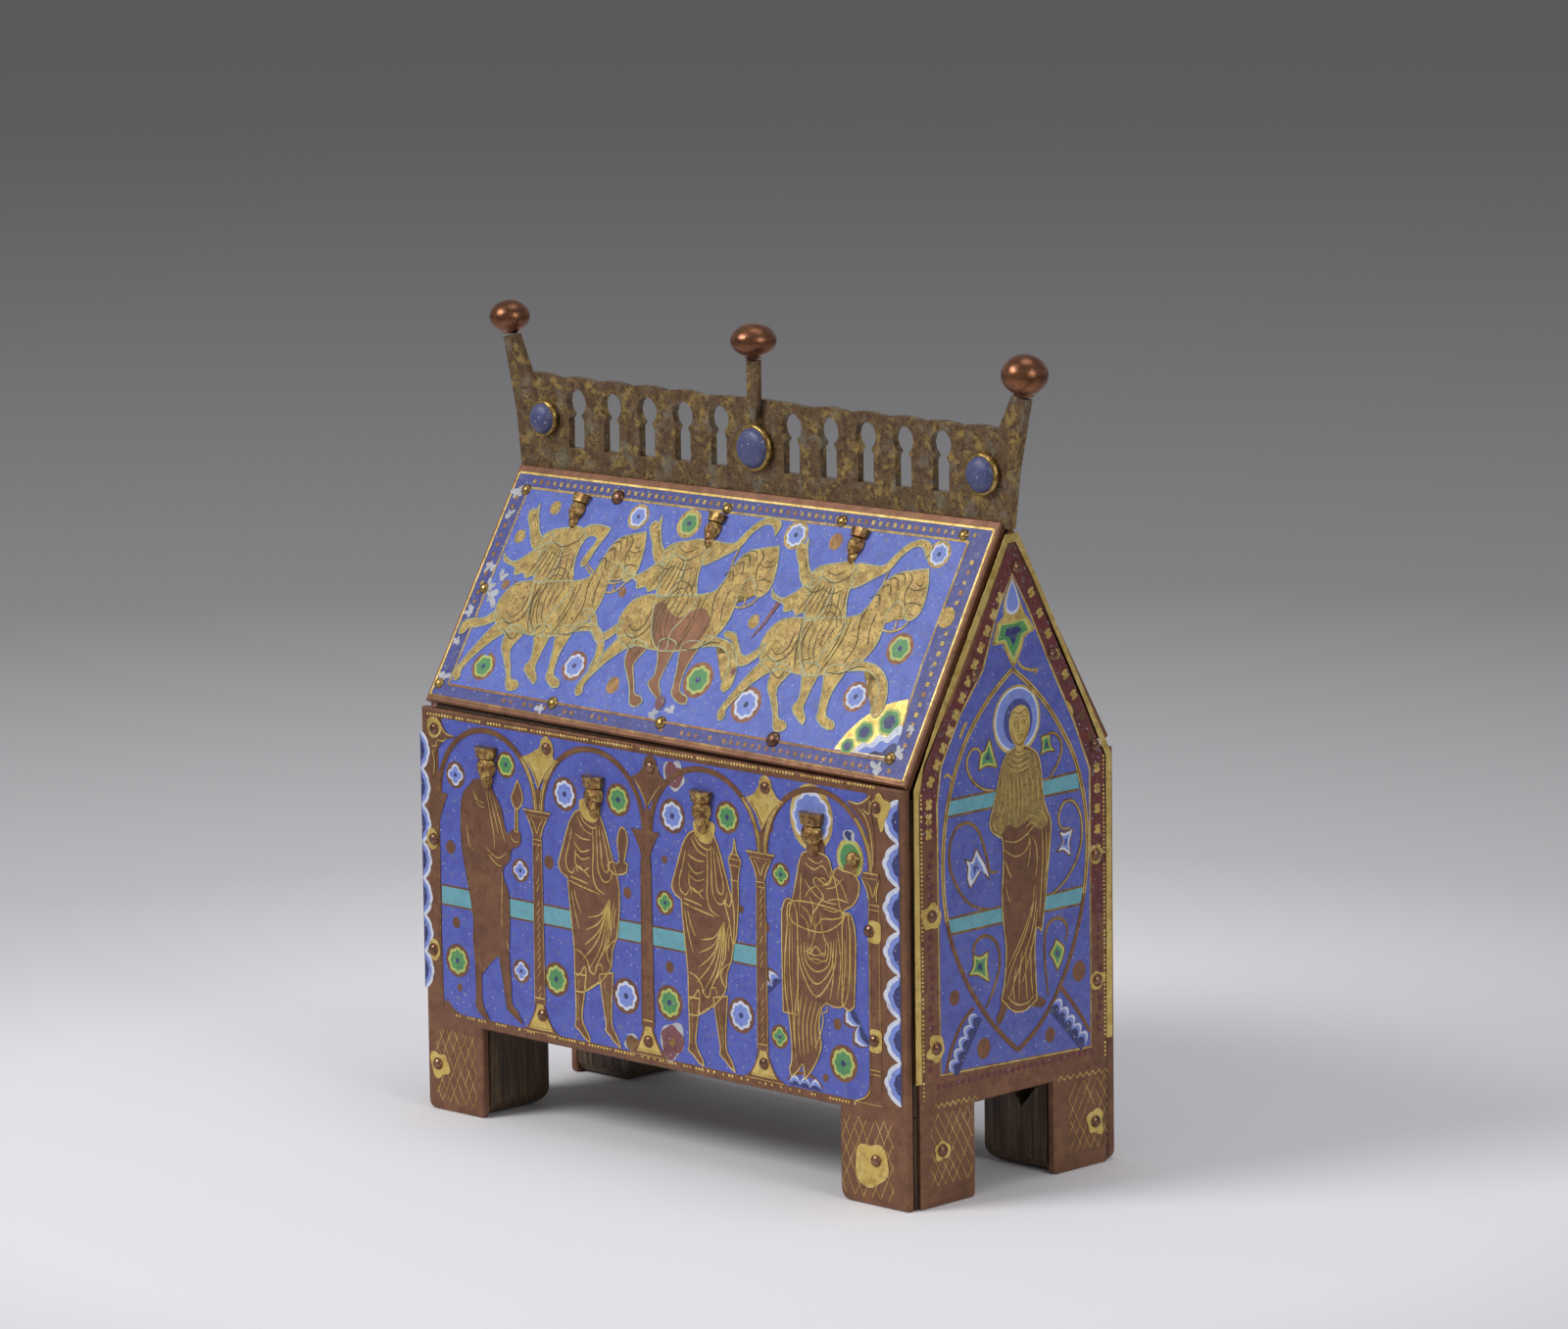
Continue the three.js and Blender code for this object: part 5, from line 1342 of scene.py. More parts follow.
HAND_OUT = ((0.2, 20), (5, 20.4), (8.8, 20.8), (11, 23.6), (13.8, 26.8), (17.4, 28.4), (20.6, 27.8),
    (21.4, 26.4), (20.6, 24, 0), (19.2, 26.2), (16.6, 26.6), (13.4, 24.2),
            (11, 20), (7.6, 17.6), (4.2, 15.4), (1, 14.4))


def rider(x, v, stretch, arm, robe, seed, low_robe=None):
    chance = random.Random(seed)
    for part, level in ((CLOAK, 0.02), (SEATED, 0.024), (HAND_UP, 0.028), (arm, 0.028)):
        placed = strode(part, x, v, 1)
        roof_metal.fill(robe, curve(placed), HEIGHTS["metal"] + level)
        roof_metal.line(dull_line, placed, 0.34, closed=True)
    if low_robe:
        patch = strode(((-9.2, 2), (-8, -2.6), (-5.6, -6.4), (-2.4, -8.6), (2.4, -8.2), (6.4, -7.2),
            (9.6, -4), (10.4, 0.6), (7.6, 3.4), (4, 2.8), (0.4, 0.4), (-3.6, 1.4), (-6.4, 3.6)), x, v, 1)
        roof_metal.fill(low_robe, curve(patch), HEIGHTS["metal"] + 0.034)
    for i in range(6):
        top, foot = -9.4 + 1.1 * i, -12.6 + 1.7 * i
        roof_metal.line(fold_line, strode(((top, 14.2 - 0.1 * i), ((top + foot) / 2 + 0.2, 10.4),
            (foot, 6.6 - 0.2 * (i % 2))), x, v, 1), 0.26)
    for path in (((-13.4, 12.8), (-10, 11.6), (-7, 13.4)), ((-8.4, 17.6), (-5.2, 16.6), (-2, 18.4)),
        ((-8.8, 15.8), (-5, 14.6), (-1, 16.4), (0.6, 18.4)),
                 ((-7.4, 13), (-4.2, 12), (-1, 13.4)), ((-3.6, 11.6), (-2.8, 8), (-3.8, 4.4)),
        ((-1.8, 12.8), (-0.8, 8.4), (-1.6, 5)), ((0.2, 13.4), (0.8, 9.4), (0.4, 6.8)),
                 ((-6.2, 5.6), (-5, 8.4), (-2.2, 9.4), (0.6, 8), (2.2, 5)),
        ((-5.6, 4.4), (-4.2, 6.8), (-2, 7.6), (0.2, 6.4), (1.2, 3.8)),
                 ((-6.8, 4.8), (-7.4, 0.4), (-6, -4.4), (-3.4, -7.2)),
        ((-4.6, 5), (-5.4, 0.8), (-4.6, -3), (-2.4, -6.2)), ((-2.6, 5.6), (-3.6, 1.4), (-3, -2.6),
            (-1.4, -5.4)),
                 ((-0.8, 5.2), (-1.8, 1.6), (-1.6, -1.2)), ((0.8, 4.2), (0, 1.6), (-0.4, -0.4)),
        ((-3.2, -7.6), (-1.2, -5.4), (1.2, -6.4)), ((-5.8, -5), (-3.4, -4.6), (-1.2, -3.2)),
                 ((-14, 16.2), (-15.8, 18.8), (-17, 20.6)), ((-18.6, 21.4), (-17.4, 21.8))):
        if chance.random() < 0.92:
            roof_metal.line(fold_line, strode(path, x, v, 1), 0.27)
    rein = ((4.6, 12), (8.4, 9.8), (12.4, 8.6), (16.4, 8.6), (20.2,
        9.8)) if arm is HAND_ON_REIN else ((10.2, 20.4), (9.8, 16), (10.6, 11.6), (13.4, 9.4),
            (17, 9.4), (20, 10.4))
    for drop in (0, -0.9):
        roof_metal.line(worn_gilt, strode([(p[0], p[1] + drop) for p in rein], x, v, stretch), 0.5)
    roof_metal.line(worn_gilt, strode(((13.6, 5.4), (16.4, 5.2), (18.8, 6.4), (20.4, 8.6)), x, v,
        stretch), 0.5)
    roof_metal.line(worn_gilt, strode(((17, 8), (17.2, 5.4)), x, v, stretch), 0.45)

# %% [markdown]
# The second rider has lost the gilding on the robe and on three of the legs, so these parts are brown.

# %% Seat the three kings
WORN, BROWN = worn_gilt, brown_copper
horse(-50, 29.2, 1.0, TAIL_DOWN, WORN, (WORN,) * 5, 1)
rider(-50, 29.2, 1.0, HAND_ON_REIN, WORN, 2)
horse(-8.6, 30.8, 1.16, TAIL_CURL, WORN, (WORN, BROWN, BROWN, WORN, BROWN), 3)
rider(-8.6, 30.8, 1.16, HAND_OUT, WORN, 4, BROWN)
horse(39, 31, 1.24, TAIL_CURL, WORN, (WORN,) * 5, 5)
rider(40.6, 31, 1.16, HAND_OUT, WORN, 6)
print("three riders drawn")

# %% [markdown]
# Rosettes, dots, the little hill in the corner, and the damage: white crust along the left edge and
# small dull red losses.

# %% Strew the roof
for u, v, size, lobes in ((-16.8, 54.6, 3.8, 6), (-65.1, 10.9, 3.7, 6), (5, 16.8, 4.6, 8),
    (63.4, 32.6, 4, 6)):
    rosette(roof_glass, roof_metal, (u, v), size, GREEN_FLOWER, lobes,
        worn_gilt if v > 50 else brown_copper)
for u, v, size, lobes in ((-34, 54.4, 3.3, 6), (18.4, 55.9, 3.7, 8), (64.8, 56.6, 3.5, 8),
    (-35.8, 14.9, 3.9, 8), (22.8, 12.9, 4.6, 8), (55.4, 19.4, 3.8, 8)):
    rosette(roof_glass, roof_metal, (u, v), size, BLUE_FLOWER, lobes, worn_gilt if v > 50 else brown_copper)
dots(roof_metal, ((-62.2, 53.4), (-70.2, 44.8), (15.4, 33.2)), 1.7, worn_gilt)
dots(roof_metal, ((-21.2, 11.8), (31.6, 55.8)), 2.0, rim_copper)
dots(roof_metal, ((-68.6, 32.2), (-29.6, 35)), 1.2, rim_copper)
dots(roof_metal, ((74, 41.8),), 2.4, worn_gilt)

hill = [(54.6, 6.2, 0), (57, 11), (61, 15.6), (66, 19), (71.6, 21, 0), (73.2, 12), (73.4, 6.2, 0)]
roof_metal.fill(gilt, curve(hill), HEIGHTS["ring"])
for share, colour, level in ((1.0, yellow, "glass"), (0.8, green, "glass_top"), (0.5, night_blue, "eye")):
    for centre, size in (((58.4, 7.4), 2.2), ((62, 11.4), 3), ((68.4, 14.8), 3.6)):
        roof_glass.fill(colour, [p for p in petals(centre, size * share, 6, 0.1)], HEIGHTS[level])
roof_glass.fill(white, curve([(60.2, 6.4, 0), (62.6, 8.8), (65, 9), (66.6, 11.4), (69.2, 11.2),
    (71, 13.8), (73, 14), (73.3, 6.6, 0)]), HEIGHTS["eye"] + 0.01)
roof_glass.fill(pale_blue, curve([(62, 6.4, 0), (64, 8), (66.2, 8), (68, 10), (70.2, 9.8), (72.2, 12),
    (73.3, 11.6), (73.3, 6.6, 0)]), HEIGHTS["eye"] + 0.02)
roof_glass.fill(night_blue, curve([(65.6, 6.4, 0), (67.2, 7.4), (69.4, 7.4), (71.2, 9.6), (73.2, 9.8),
    (73.3, 6.6, 0)]), HEIGHTS["eye"] + 0.03)

for centre, size, seed in (((-77, 56), 2.2, 1), ((-76.6, 50), 1.6, 2), ((-76, 36), 2, 3),
    ((-74, 31), 2.4, 4), ((-71.4, 28.6), 2.6, 5), ((-76.8, 24), 1.8, 6),
                           ((-77.2, 16), 1.5, 7), ((-76.8, 6.6), 2, 8), ((-70.6, 34.2), 1.8, 9),
    ((74.6, 8), 2, 10), ((69.6, 3.4), 2.2, 11), ((75.6, 14), 1.4, 12), ((-41.6, 2.9), 1.6, 13),
                           ((0, 8.4), 1.6, 14), ((-5, 6.6), 1.8, 15)):
    roof_glass.fill(crust, blotch(centre, size * 0.7, seed, 0.9, 34), HEIGHTS["eye"] - 0.01)
for outline_points in (((21.6, 38.6), (20.4, 35.6), (18.8, 32), (16.4, 28.8), (18.4, 33), (19.6, 36.6),
    (20.6, 39.6)),
                       ((-5.4, 10.8), (-3.4, 11.2), (-2.6, 9.4), (-3.8, 7.8), (-5.4, 8.8)),
    ((14.2, 20.6), (15.6, 21.2), (15.8, 19.8), (14.8, 19.4))):
    roof_glass.fill(repair_red, curve(outline_points), HEIGHTS["line"] + 0.02)
roof_glass.finish("blue_enamel")
roof_metal.finish("gilt_copper")

# %% [markdown]
# ## The right gable: a standing saint
# A saint stands in a pointed oval on the gable, with two turquoise bands behind and leafy scrolls on
# both sides. Round the field runs a band of dark red enamel with small gilt crosses, and outside it a
# strip of punched gilding.

# %% Lay the gable ground and its borders
gable_glass = Inlay("right_gable_enamel", on_right)
gable_metal = Inlay("right_gable_figures", on_right)

HOUSE_FIELD = ((-25, 31.2), (26.2, 29), (26.3, 95.6), (21, 107.6), (13.4, 121.4), (5.6, 136.4),
    (0.3, 145.4), (-4.6, 137),
               (-9.6, 124.2), (-17.6, 114.6), (-24, 103.6), (-25.4, 95))
HOUSE_BAND = ((-30.6, 25.4), (31.6, 24), (31.9, 97.4), (25, 110.6), (15, 128.4), (7, 143.2),
    (1.4, 152.2), (-0.6, 152.2), (-8.2, 138.6),
              (-13.8, 127.4), (-23, 114.6), (-29.6, 104.4), (-31.4, 96.4))
gable_metal.fill(gilt, [(-33.6, 30), (-31.6, 30), (-31.8, 97.2), (-30, 104.8), (-23.4, 115.2),
    (-8.6, 139.4), (-0.9, 153), (1.7, 153), (7.4, 144),
                        (25.4, 111.2), (32.3, 98), (32, 30), (34, 30), (34.1, 98.6), (26.6, 111.8),
    (2.6, 155), (-1.8, 155), (-25, 115.6),
                        (-33.4, 99.4)], 0.045)
gable_glass.fill(wine_red, HOUSE_BAND, 0.05)
gable_metal.fill(brown_copper, [(-30.7, 25.4), (31.5, 24.1), (31.8, 60), (26.6, 61), (26.4, 29.2),
    (-25, 31.2), (-25.6, 88), (-31.2, 87)], 0.058)
gable_metal.line(line_gilt, [Vector(p) for p in HOUSE_FIELD], 1.1, 0.075, closed=True, raw=True)
gable_glass.fill(gable_lapis, HOUSE_FIELD, HEIGHTS["band"])
for _ in range(2):  # two coats of the same line
    gable_metal.line(rim_copper, [(-25.2, 31.3), (26.3, 29.1)], 0.5, 0.1, raw=True)
gable_metal.line(rim_copper, [(-25.2, 31), (-25.4, 84)], 0.5, 0.1, raw=True)
gable_metal.line(rim_copper, [(26.4, 29), (26.4, 74)], 0.5, 0.1, raw=True)


def cross_mark(u, v, size, material, lean):
    for a in (lean + 0.62, lean - 0.62):
        along = Vector((math.sin(a), math.cos(a))) * size
        gable_metal.line(material, [(u - along.x, v - along.y), (u + along.x, v + along.y)], 0.75, 0.1,
            raw=True, taper=-0.4)


marks = random.Random(21)
for i in range(30):
    t = i / 29
    left_spot = Vector((-28.6, 88.6)).lerp(Vector((-28.4, 98.6)), t / 0.2) if t < 0.2 else (
        Vector((-28, 100.4)).lerp(Vector((-2.8, 142.4)), (t - 0.2) / 0.8))
    lean = 0.0 if t < 0.2 else 0.54
    if i % 2 == 0:
        cross_mark(left_spot.x, left_spot.y, 1.35, line_gilt, lean)
        gable_metal.fill(line_gilt, disc((left_spot.x, left_spot.y), 0.62, 8), 0.103)
for i in range(26):
    t = i / 25
    spot = Vector((29.2, 76)).lerp(Vector((29, 98)), t / 0.36) if t < 0.36 else (
        Vector((28.4, 101)).lerp(Vector((5.4, 143)), (t - 0.36) / 0.64))
    lean = 0.0 if t < 0.36 else -0.48
    if i % 2 == 0:
        cross_mark(spot.x, spot.y, 1.2, line_gilt if marks.random() < 0.7 else rim_copper, lean)
for i in range(26):
    u = -26.0 + i * 2.1
    v = 28.4 - 0.022 * i
    gable_glass.fill(wine_red, blotch((u, v), 0.8, i, 0.4, 10), 0.068)
for i in range(22):
    for u in (-28.2, 29.2):
        if u < 0 or i < 16:
            gable_glass.fill(wine_red, blotch((u + marks.uniform(-0.6, 0.6), 33.0 + i * 2.4), 0.9,
                i + 40, 0.4, 10), 0.068)
print("gable borders laid")

# %% [markdown]
# The pointed oval is a double gilt line. The bands, scrolls and leaves lie inside it.

# %% Draw the oval, the bands and the scrolls
OVAL_LEFT = ((0.2, 123.2), (-6.2, 118.8), (-12, 113.4), (-16.2, 108), (-19.6, 101.6), (-21.9, 95.2),
    (-23.4, 88), (-24, 80), (-23.6, 72), (-22, 64),
             (-19.4, 57.4), (-15.8, 50.8), (-11, 44.2), (-5.4, 38), (1, 32.4))
OVAL_RIGHT = ((0.2, 123.2), (6.6, 118.2), (12.4, 112.4), (17.2, 106), (21.2, 99.4), (24, 91),
    (25.4, 82.4), (25.3, 73.6), (23.8, 64.4), (21.4, 56.6),
              (17.8, 48.8), (13, 41.8), (7.2, 36.2), (1, 32.4))
for u0, v0, u1, v1, u2, v2, u3, v3 in ((-22.2, 91.9, -5, 91.8, -5, 95.1, -21.6, 95.2),
    (9, 91.8, 22.9, 91.6, 22.2, 95.3, 9, 95.1),
                                       (-22.2, 64.1, -3, 64, -3, 67.3, -22.9, 67.3),
    (9, 64.3, 23.4, 64.1, 23.9, 67.7, 9, 67.5)):
    gable_metal.fill(rim_copper, [(u0, v0 - 0.6), (u1, v1 - 0.6), (u2, v2 + 0.6), (u3, v3 + 0.6)],
        HEIGHTS["ring"])
    gable_glass.fill(turquoise, [(u0, v0), (u1, v1), (u2, v2), (u3, v3)], HEIGHTS["glass"])
for path in (OVAL_LEFT, OVAL_RIGHT):
    line = curve(path, closed=False)
    upper = line[:int(len(line) * 0.62)]
    gable_metal.line(brown_copper, line, 1.25, 0.15, raw=True, taper=0.0)
    gable_metal.line(line_gilt, upper, 1.15, 0.16, raw=True, taper=0.0)
    gable_metal.line(rim_copper, upper, 0.3, 0.2, raw=True, taper=0.0)
    gable_metal.line(rim_copper, line[int(len(line) * 0.6):], 0.35, 0.2, raw=True, taper=0.0)

# %% [markdown]
# Thin copper stems curl from the bands and end in small leaves. A leaf is one outline filled three
# times, smaller each time and in another colour, which gives the shaded enamel of such work.

# %% Wind the scrolls and set the leaves
SCROLLS = (((-5.6, 76.2), (-8, 76.6), (-9.4, 81), (-11.8, 86.6), (-15.4, 89.2), (-19.4, 88.4),
    (-21.6, 84.4), (-21.4, 79.2), (-18.4, 73.4), (-14, 69.4), (-8.4, 67.6)),
           ((13.2, 67.8), (17.6, 70.2), (21.6, 74.4), (23.6, 79.6), (23.2, 85.2), (20.6, 88.8),
               (17.6, 89), (15.7, 86.2), (16.4, 83.2), (19.4, 82.6)),
           ((-6.2, 95.4), (-10.6, 96.6), (-14.4, 99.8), (-15.6, 103.6), (-13.8, 106.2), (-11.4, 105.8),
               (-10.8, 103.8)),
           ((12.8, 95.6), (15.8, 99.2), (16.9, 102.6), (15.4, 105.4), (12.9, 106.2), (11.6, 105.4)),
           ((-9.8, 44.4), (-7.2, 48.4), (-5, 54), (-6, 59.2), (-9.8, 61.6), (-13.2, 60.4),
               (-13.9, 57.2), (-12.6, 56)),
           ((11.6, 43.4), (10.8, 49.4), (10.4, 55.4), (11.2, 60), (14, 61.8), (17.2, 60.8),
               (18.4, 58.2), (17.6, 55.8)))
for i, scroll in enumerate(SCROLLS):
    gable_metal.line(rim_copper, scroll, 0.85, 0.14, taper=0.35)
    if i in (2, 3, 1):
        gable_metal.line(line_gilt, scroll, 0.32, 0.2, taper=0.35)


def leaf(points, colours):
    middle = sum((Vector(p[:2]) for p in points), Vector((0, 0))) / len(points)
    gable_metal.line(rim_copper, points, 0.8, 0.14, closed=True)
    for share, colour, level in ((1.0, colours[0], 0.15), (0.68, colours[1], 0.17),
        (0.3, colours[2], 0.19)):
        shape = [(middle.x + (p[0] - middle.x) * share, middle.y + (p[1] - middle.y) * share,
            *p[2:]) for p in points]
        gable_glass.fill(colour, curve(shape), level)


SPRING_LEAF, FROST_LEAF = (yellow, green, night_blue), (white, pale_blue, border_blue)
leaf(((-11.4, 101.2, 0), (-8.6, 101.8), (-5.4, 100.9, 0), (-6.6, 104), (-7.9, 107.8, 0), (-9.2, 105.4),
    (-10.6, 104.6)), SPRING_LEAF)
leaf(((9.7, 101.7, 0), (12, 102.2), (14.3, 101.8, 0), (12.8, 103.6), (12.6, 105.8), (10, 105.6, 0),
    (10.4, 103.6)), SPRING_LEAF)
leaf(((-15.4, 53.2, 0), (-13.2, 53), (-11.6, 52.4), (-8.8, 50.6, 0), (-9.4, 54.2), (-9, 57.7, 0),
    (-11.4, 56.8), (-13.8, 57.6, 0), (-13.9, 55)), SPRING_LEAF)
leaf(((12.3, 53.6, 0), (13.8, 51.6), (14.8, 49.4, 0), (16.2, 51.4), (17.2, 54), (15.8, 55.6),
    (14.5, 56.6, 0), (13.6, 55)), SPRING_LEAF)
leaf(((-16.4, 80.6, 0), (-15.4, 78.8), (-15.6, 76), (-14.7, 73.9, 0), (-12.6, 76), (-10.9, 77.3),
    (-8.3, 75, 0), (-9.6, 78), (-11.4, 80.6), (-12.6, 82.4, 0), (-14.2, 79.8)), FROST_LEAF)
leaf(((15.2, 77.6, 0), (17.2, 77.8), (19.6, 76, 0), (19.2, 79), (20.4, 82.2, 0), (17.8, 81.6),
    (16.2, 82), (17.2, 79.8)), FROST_LEAF)

# %% [markdown]
# A tear-shaped drop hangs in the very top, over a three-lobed palmette with a curl below it.

# %% Fill the top of the gable
gable_metal.fill(line_gilt, curve([(0.3, 145.2, 0), (-2.6, 139.4), (-2.6, 136.4), (-4.8, 134.6, 0),
    (0.6, 134.2), (4.8, 135.2, 0), (3.4, 138), (2.6, 140.2)]), 0.12)
gable_glass.fill(white, curve([(0.3, 144.4, 0), (-1.9, 139.6), (-1.6, 137), (0.4, 136), (2.4, 137),
    (2.6, 139.4)]), 0.14)
gable_glass.fill(pale_blue, curve([(0.3, 143.8, 0), (-1.5, 139.8), (-1.2, 137.6), (0.4, 136.8),
    (2, 137.6), (2.1, 139.6)]), 0.16)
palmette = [(-4.6, 134.6, 0), (0.4, 134.4), (5, 134.8, 0), (7.4, 131.6, 0), (4.2, 130.6), (3, 127.6),
    (0.6, 124, 0), (-1.6, 127.6), (-2.8, 129.8), (-6.2, 130, 0)]
gable_metal.line(line_gilt, palmette, 0.9, 0.14, closed=True)
for share, colour, level in ((0.94, yellow, 0.15), (0.76, green, 0.165), (0.42, night_blue, 0.18)):
    gable_glass.fill(colour, curve([(0.4 + (p[0] - 0.4) * share, 132.0 + (p[1] - 132) * share,
        *p[2:]) for p in palmette]), level)
gable_metal.line(line_gilt, [(1.8, 125.4), (3.2, 123.4), (6, 122.2), (8.8, 121.8), (7.4, 120.8)], 0.7, 0.14)
for u, side in ((-15.4, 1), (18.4, -1)):
    gable_metal.line(line_gilt, [(u, 113), (u - 1.6 * side, 111.2), (u - 2.4 * side, 109.4)], 0.9, 0.14)
gable_metal.line(line_gilt, [(-20.6, 100.4), (-22.2, 101.6), (-23.4, 101)], 0.7, 0.14)

# %% [markdown]
# Two copper stems and a short strip of clouds fill each lower corner, with four copper dots near them.

# %% Fill the lower corners
for stem in (((-23.6, 31.2), (-21.4, 37), (-17.8, 42.4), (-14, 45.2)),
    ((-18.8, 31.6), (-15.8, 37), (-12.6, 41.4)),
             ((26, 32.6), (21.8, 38.4), (17.6, 43.2), (15.2, 46)), ((22.2, 30.2), (18, 36), (13.6, 40.2))):
    gable_metal.line(brown_copper, stem, 1.1, 0.12, taper=0.2)
for start, end in (((-21.6, 31.2), (-13.2, 43.4)), ((13.6, 41.8), (24.6, 30.2))):
    strip = cloud_edge(start, end, 5, 2, 0)
    side = (Vector(end) - Vector(start)).normalized()
    away = Vector((-side.y, side.x))
    for share, colour, level in ((0.0, white, 0.14), (0.75, pale_blue, 0.16), (1.7, night_blue, 0.18)):
        gable_glass.fill(colour, [p - away * share for p in strip] + [Vector(end) - away * 2.4,
            Vector(start) - away * 2.4], level)
dots(gable_metal, ((-10.6, 34.9), (22.4, 47.8)), 2.3)
dots(gable_metal, ((-20.4, 48.6), (12.2, 34.2)), 1.7)
print("oval, bands and scrolls drawn")

# %% [markdown]
# The saint's robe is reserved copper: gilt and closely engraved above, rubbed brown below with a few
# long gilt folds. The face is only engraved, with plain even features of our own.

# %% Draw the saint
ROBE = ((1.4, 104.6), (-1.6, 103.6), (-3.8, 101), (-5.2, 96.6), (-6.6, 92), (-8, 88.4), (-7.4, 86),
    (-5.2, 84.4), (-3.8, 83.4), (-3.6, 77), (-4.1, 70), (-3.6, 63),
        (-2.8, 57), (-3.4, 50), (-4.6, 45.4, 0), (-3.2, 44.4), (-1.4, 42.6), (1, 41.6), (4.2, 41.8),
    (7.6, 43.6, 0), (7.2, 50), (7, 56), (7.6, 60.6), (9.4, 59.6, 0), (10.4, 65),
        (11.4, 72), (12.6, 80.6), (12.8, 85.4), (11.4, 88.4), (10.2, 92), (9.6, 97.6), (8.6, 101.6),
    (6.2, 103.6), (3.8, 104.6))
TORSO_GOLD = ((1.2, 104), (-1.6, 103), (-3.4, 100.6), (-4.8, 96), (-6.2, 91.6), (-7.4, 88.2),
    (-6.8, 86), (-4.6, 84.4), (-2, 86.6), (1.6, 85.4), (4.4, 86.8), (7.4, 84.8),
              (9.8, 84), (12, 85.6), (11, 88.4), (9.6, 92.4), (9.2, 97.6), (8, 101.4), (5.8, 103.2))
FEET = (((-4.6, 46.4, 0), (-4.9, 43.2), (-6.2, 41.4), (-5.6, 39.6, 0), (-4.2, 40.8), (-2.8, 43.4),
    (-2.2, 46.4, 0)),
        ((6.4, 46.4, 0), (7.8, 44.4), (10.6, 42.8, 0), (9.8, 41.6), (6.8, 42), (4.4, 43), (4.6, 46, 0)))
gable_metal.fill(line_gilt, disc((1.5, 111), 8.1, 40, 1.02), HEIGHTS["ring"] + 0.02)
gable_glass.fill(white, disc((1.5, 111.1), 7.5, 40, 1.02), HEIGHTS["glass"] + 0.02)
gable_glass.fill(pale_blue, disc((1.5, 111.2), 7, 40, 1.02), HEIGHTS["glass_top"] + 0.02)
gable_glass.fill(border_blue, disc((1.9, 110.6), 4.9, 32, 1.1), HEIGHTS["eye"] + 0.02)
for foot in FEET:
    gable_metal.fill(brown_copper, curve(foot), HEIGHTS["metal"])
    gable_metal.line(rim_copper, foot, 0.3, closed=True)
gable_metal.fill(brown_copper, curve(ROBE), HEIGHTS["metal"] + 0.01)
gable_metal.fill(worn_gilt, curve(TORSO_GOLD), HEIGHTS["metal"] + 0.02)
gable_metal.line(line_gilt, ROBE, 0.36, closed=True)

# %% [markdown]
# The face is a plain oval with even features, drawn in very few strokes.

# %% Engrave the face
FACE_MIDDLE = (2.3, 109.2)
gable_metal.fill(gilt, curve(moved(((0, 5.2), (-2.2, 4.4), (-3.4, 2.2), (-3.3, -0.6), (-2.4, -2.8),
    (-1.2, -4.6), (-1.4, -6.4), (1.6, -6.4), (1.4, -4.6), (2.6, -2.6),
                                    (3.5, -0.2), (3.5, 2.6), (2.2, 4.6)), *FACE_MIDDLE)),
    HEIGHTS["metal"] + 0.03)
for mark in (((-1.9, 1.2), (-1.2, 1.6), (-0.5, 1.2)), ((-1.9, 1.1), (-1.2, 0.8), (-0.5, 1.1)),
    ((0.6, 1.2), (1.3, 1.6), (2, 1.2)), ((0.6, 1.1), (1.3, 0.8), (2, 1.1)),
             ((-2.2, 2.1), (-1.2, 2.5), (-0.4, 2.1), (-0.2, 0.2), (-0.5, -0.9), (0.2, -1.1),
                 (0.7, -0.8)), ((0.5, 2.1), (1.4, 2.5), (2.3, 2.1)),
             ((-0.8, -2), (0.1, -1.8), (1, -2)), ((-0.5, -2.5), (0.2, -2.7), (0.8, -2.5)),
    ((-3, 2.4), (-2, 3.8), (0, 3.2), (2, 3.9), (3.1, 2.6)),
             ((-2.8, 0.4), (-2.3, -1.8), (-1.2, -3.6), (0.1, -4.2), (1.4, -3.6), (2.5, -1.6), (3, 0.6)),
    ((-1.3, -5.6), (0.1, -6), (1.5, -5.6))):
    gable_metal.line(rim_copper, moved(mark, *FACE_MIDDLE), 0.24, HEIGHTS["line"] + 0.01)

# %% [markdown]
# Short close folds cover the gilt upper half, and a few long ones run down the brown skirt.

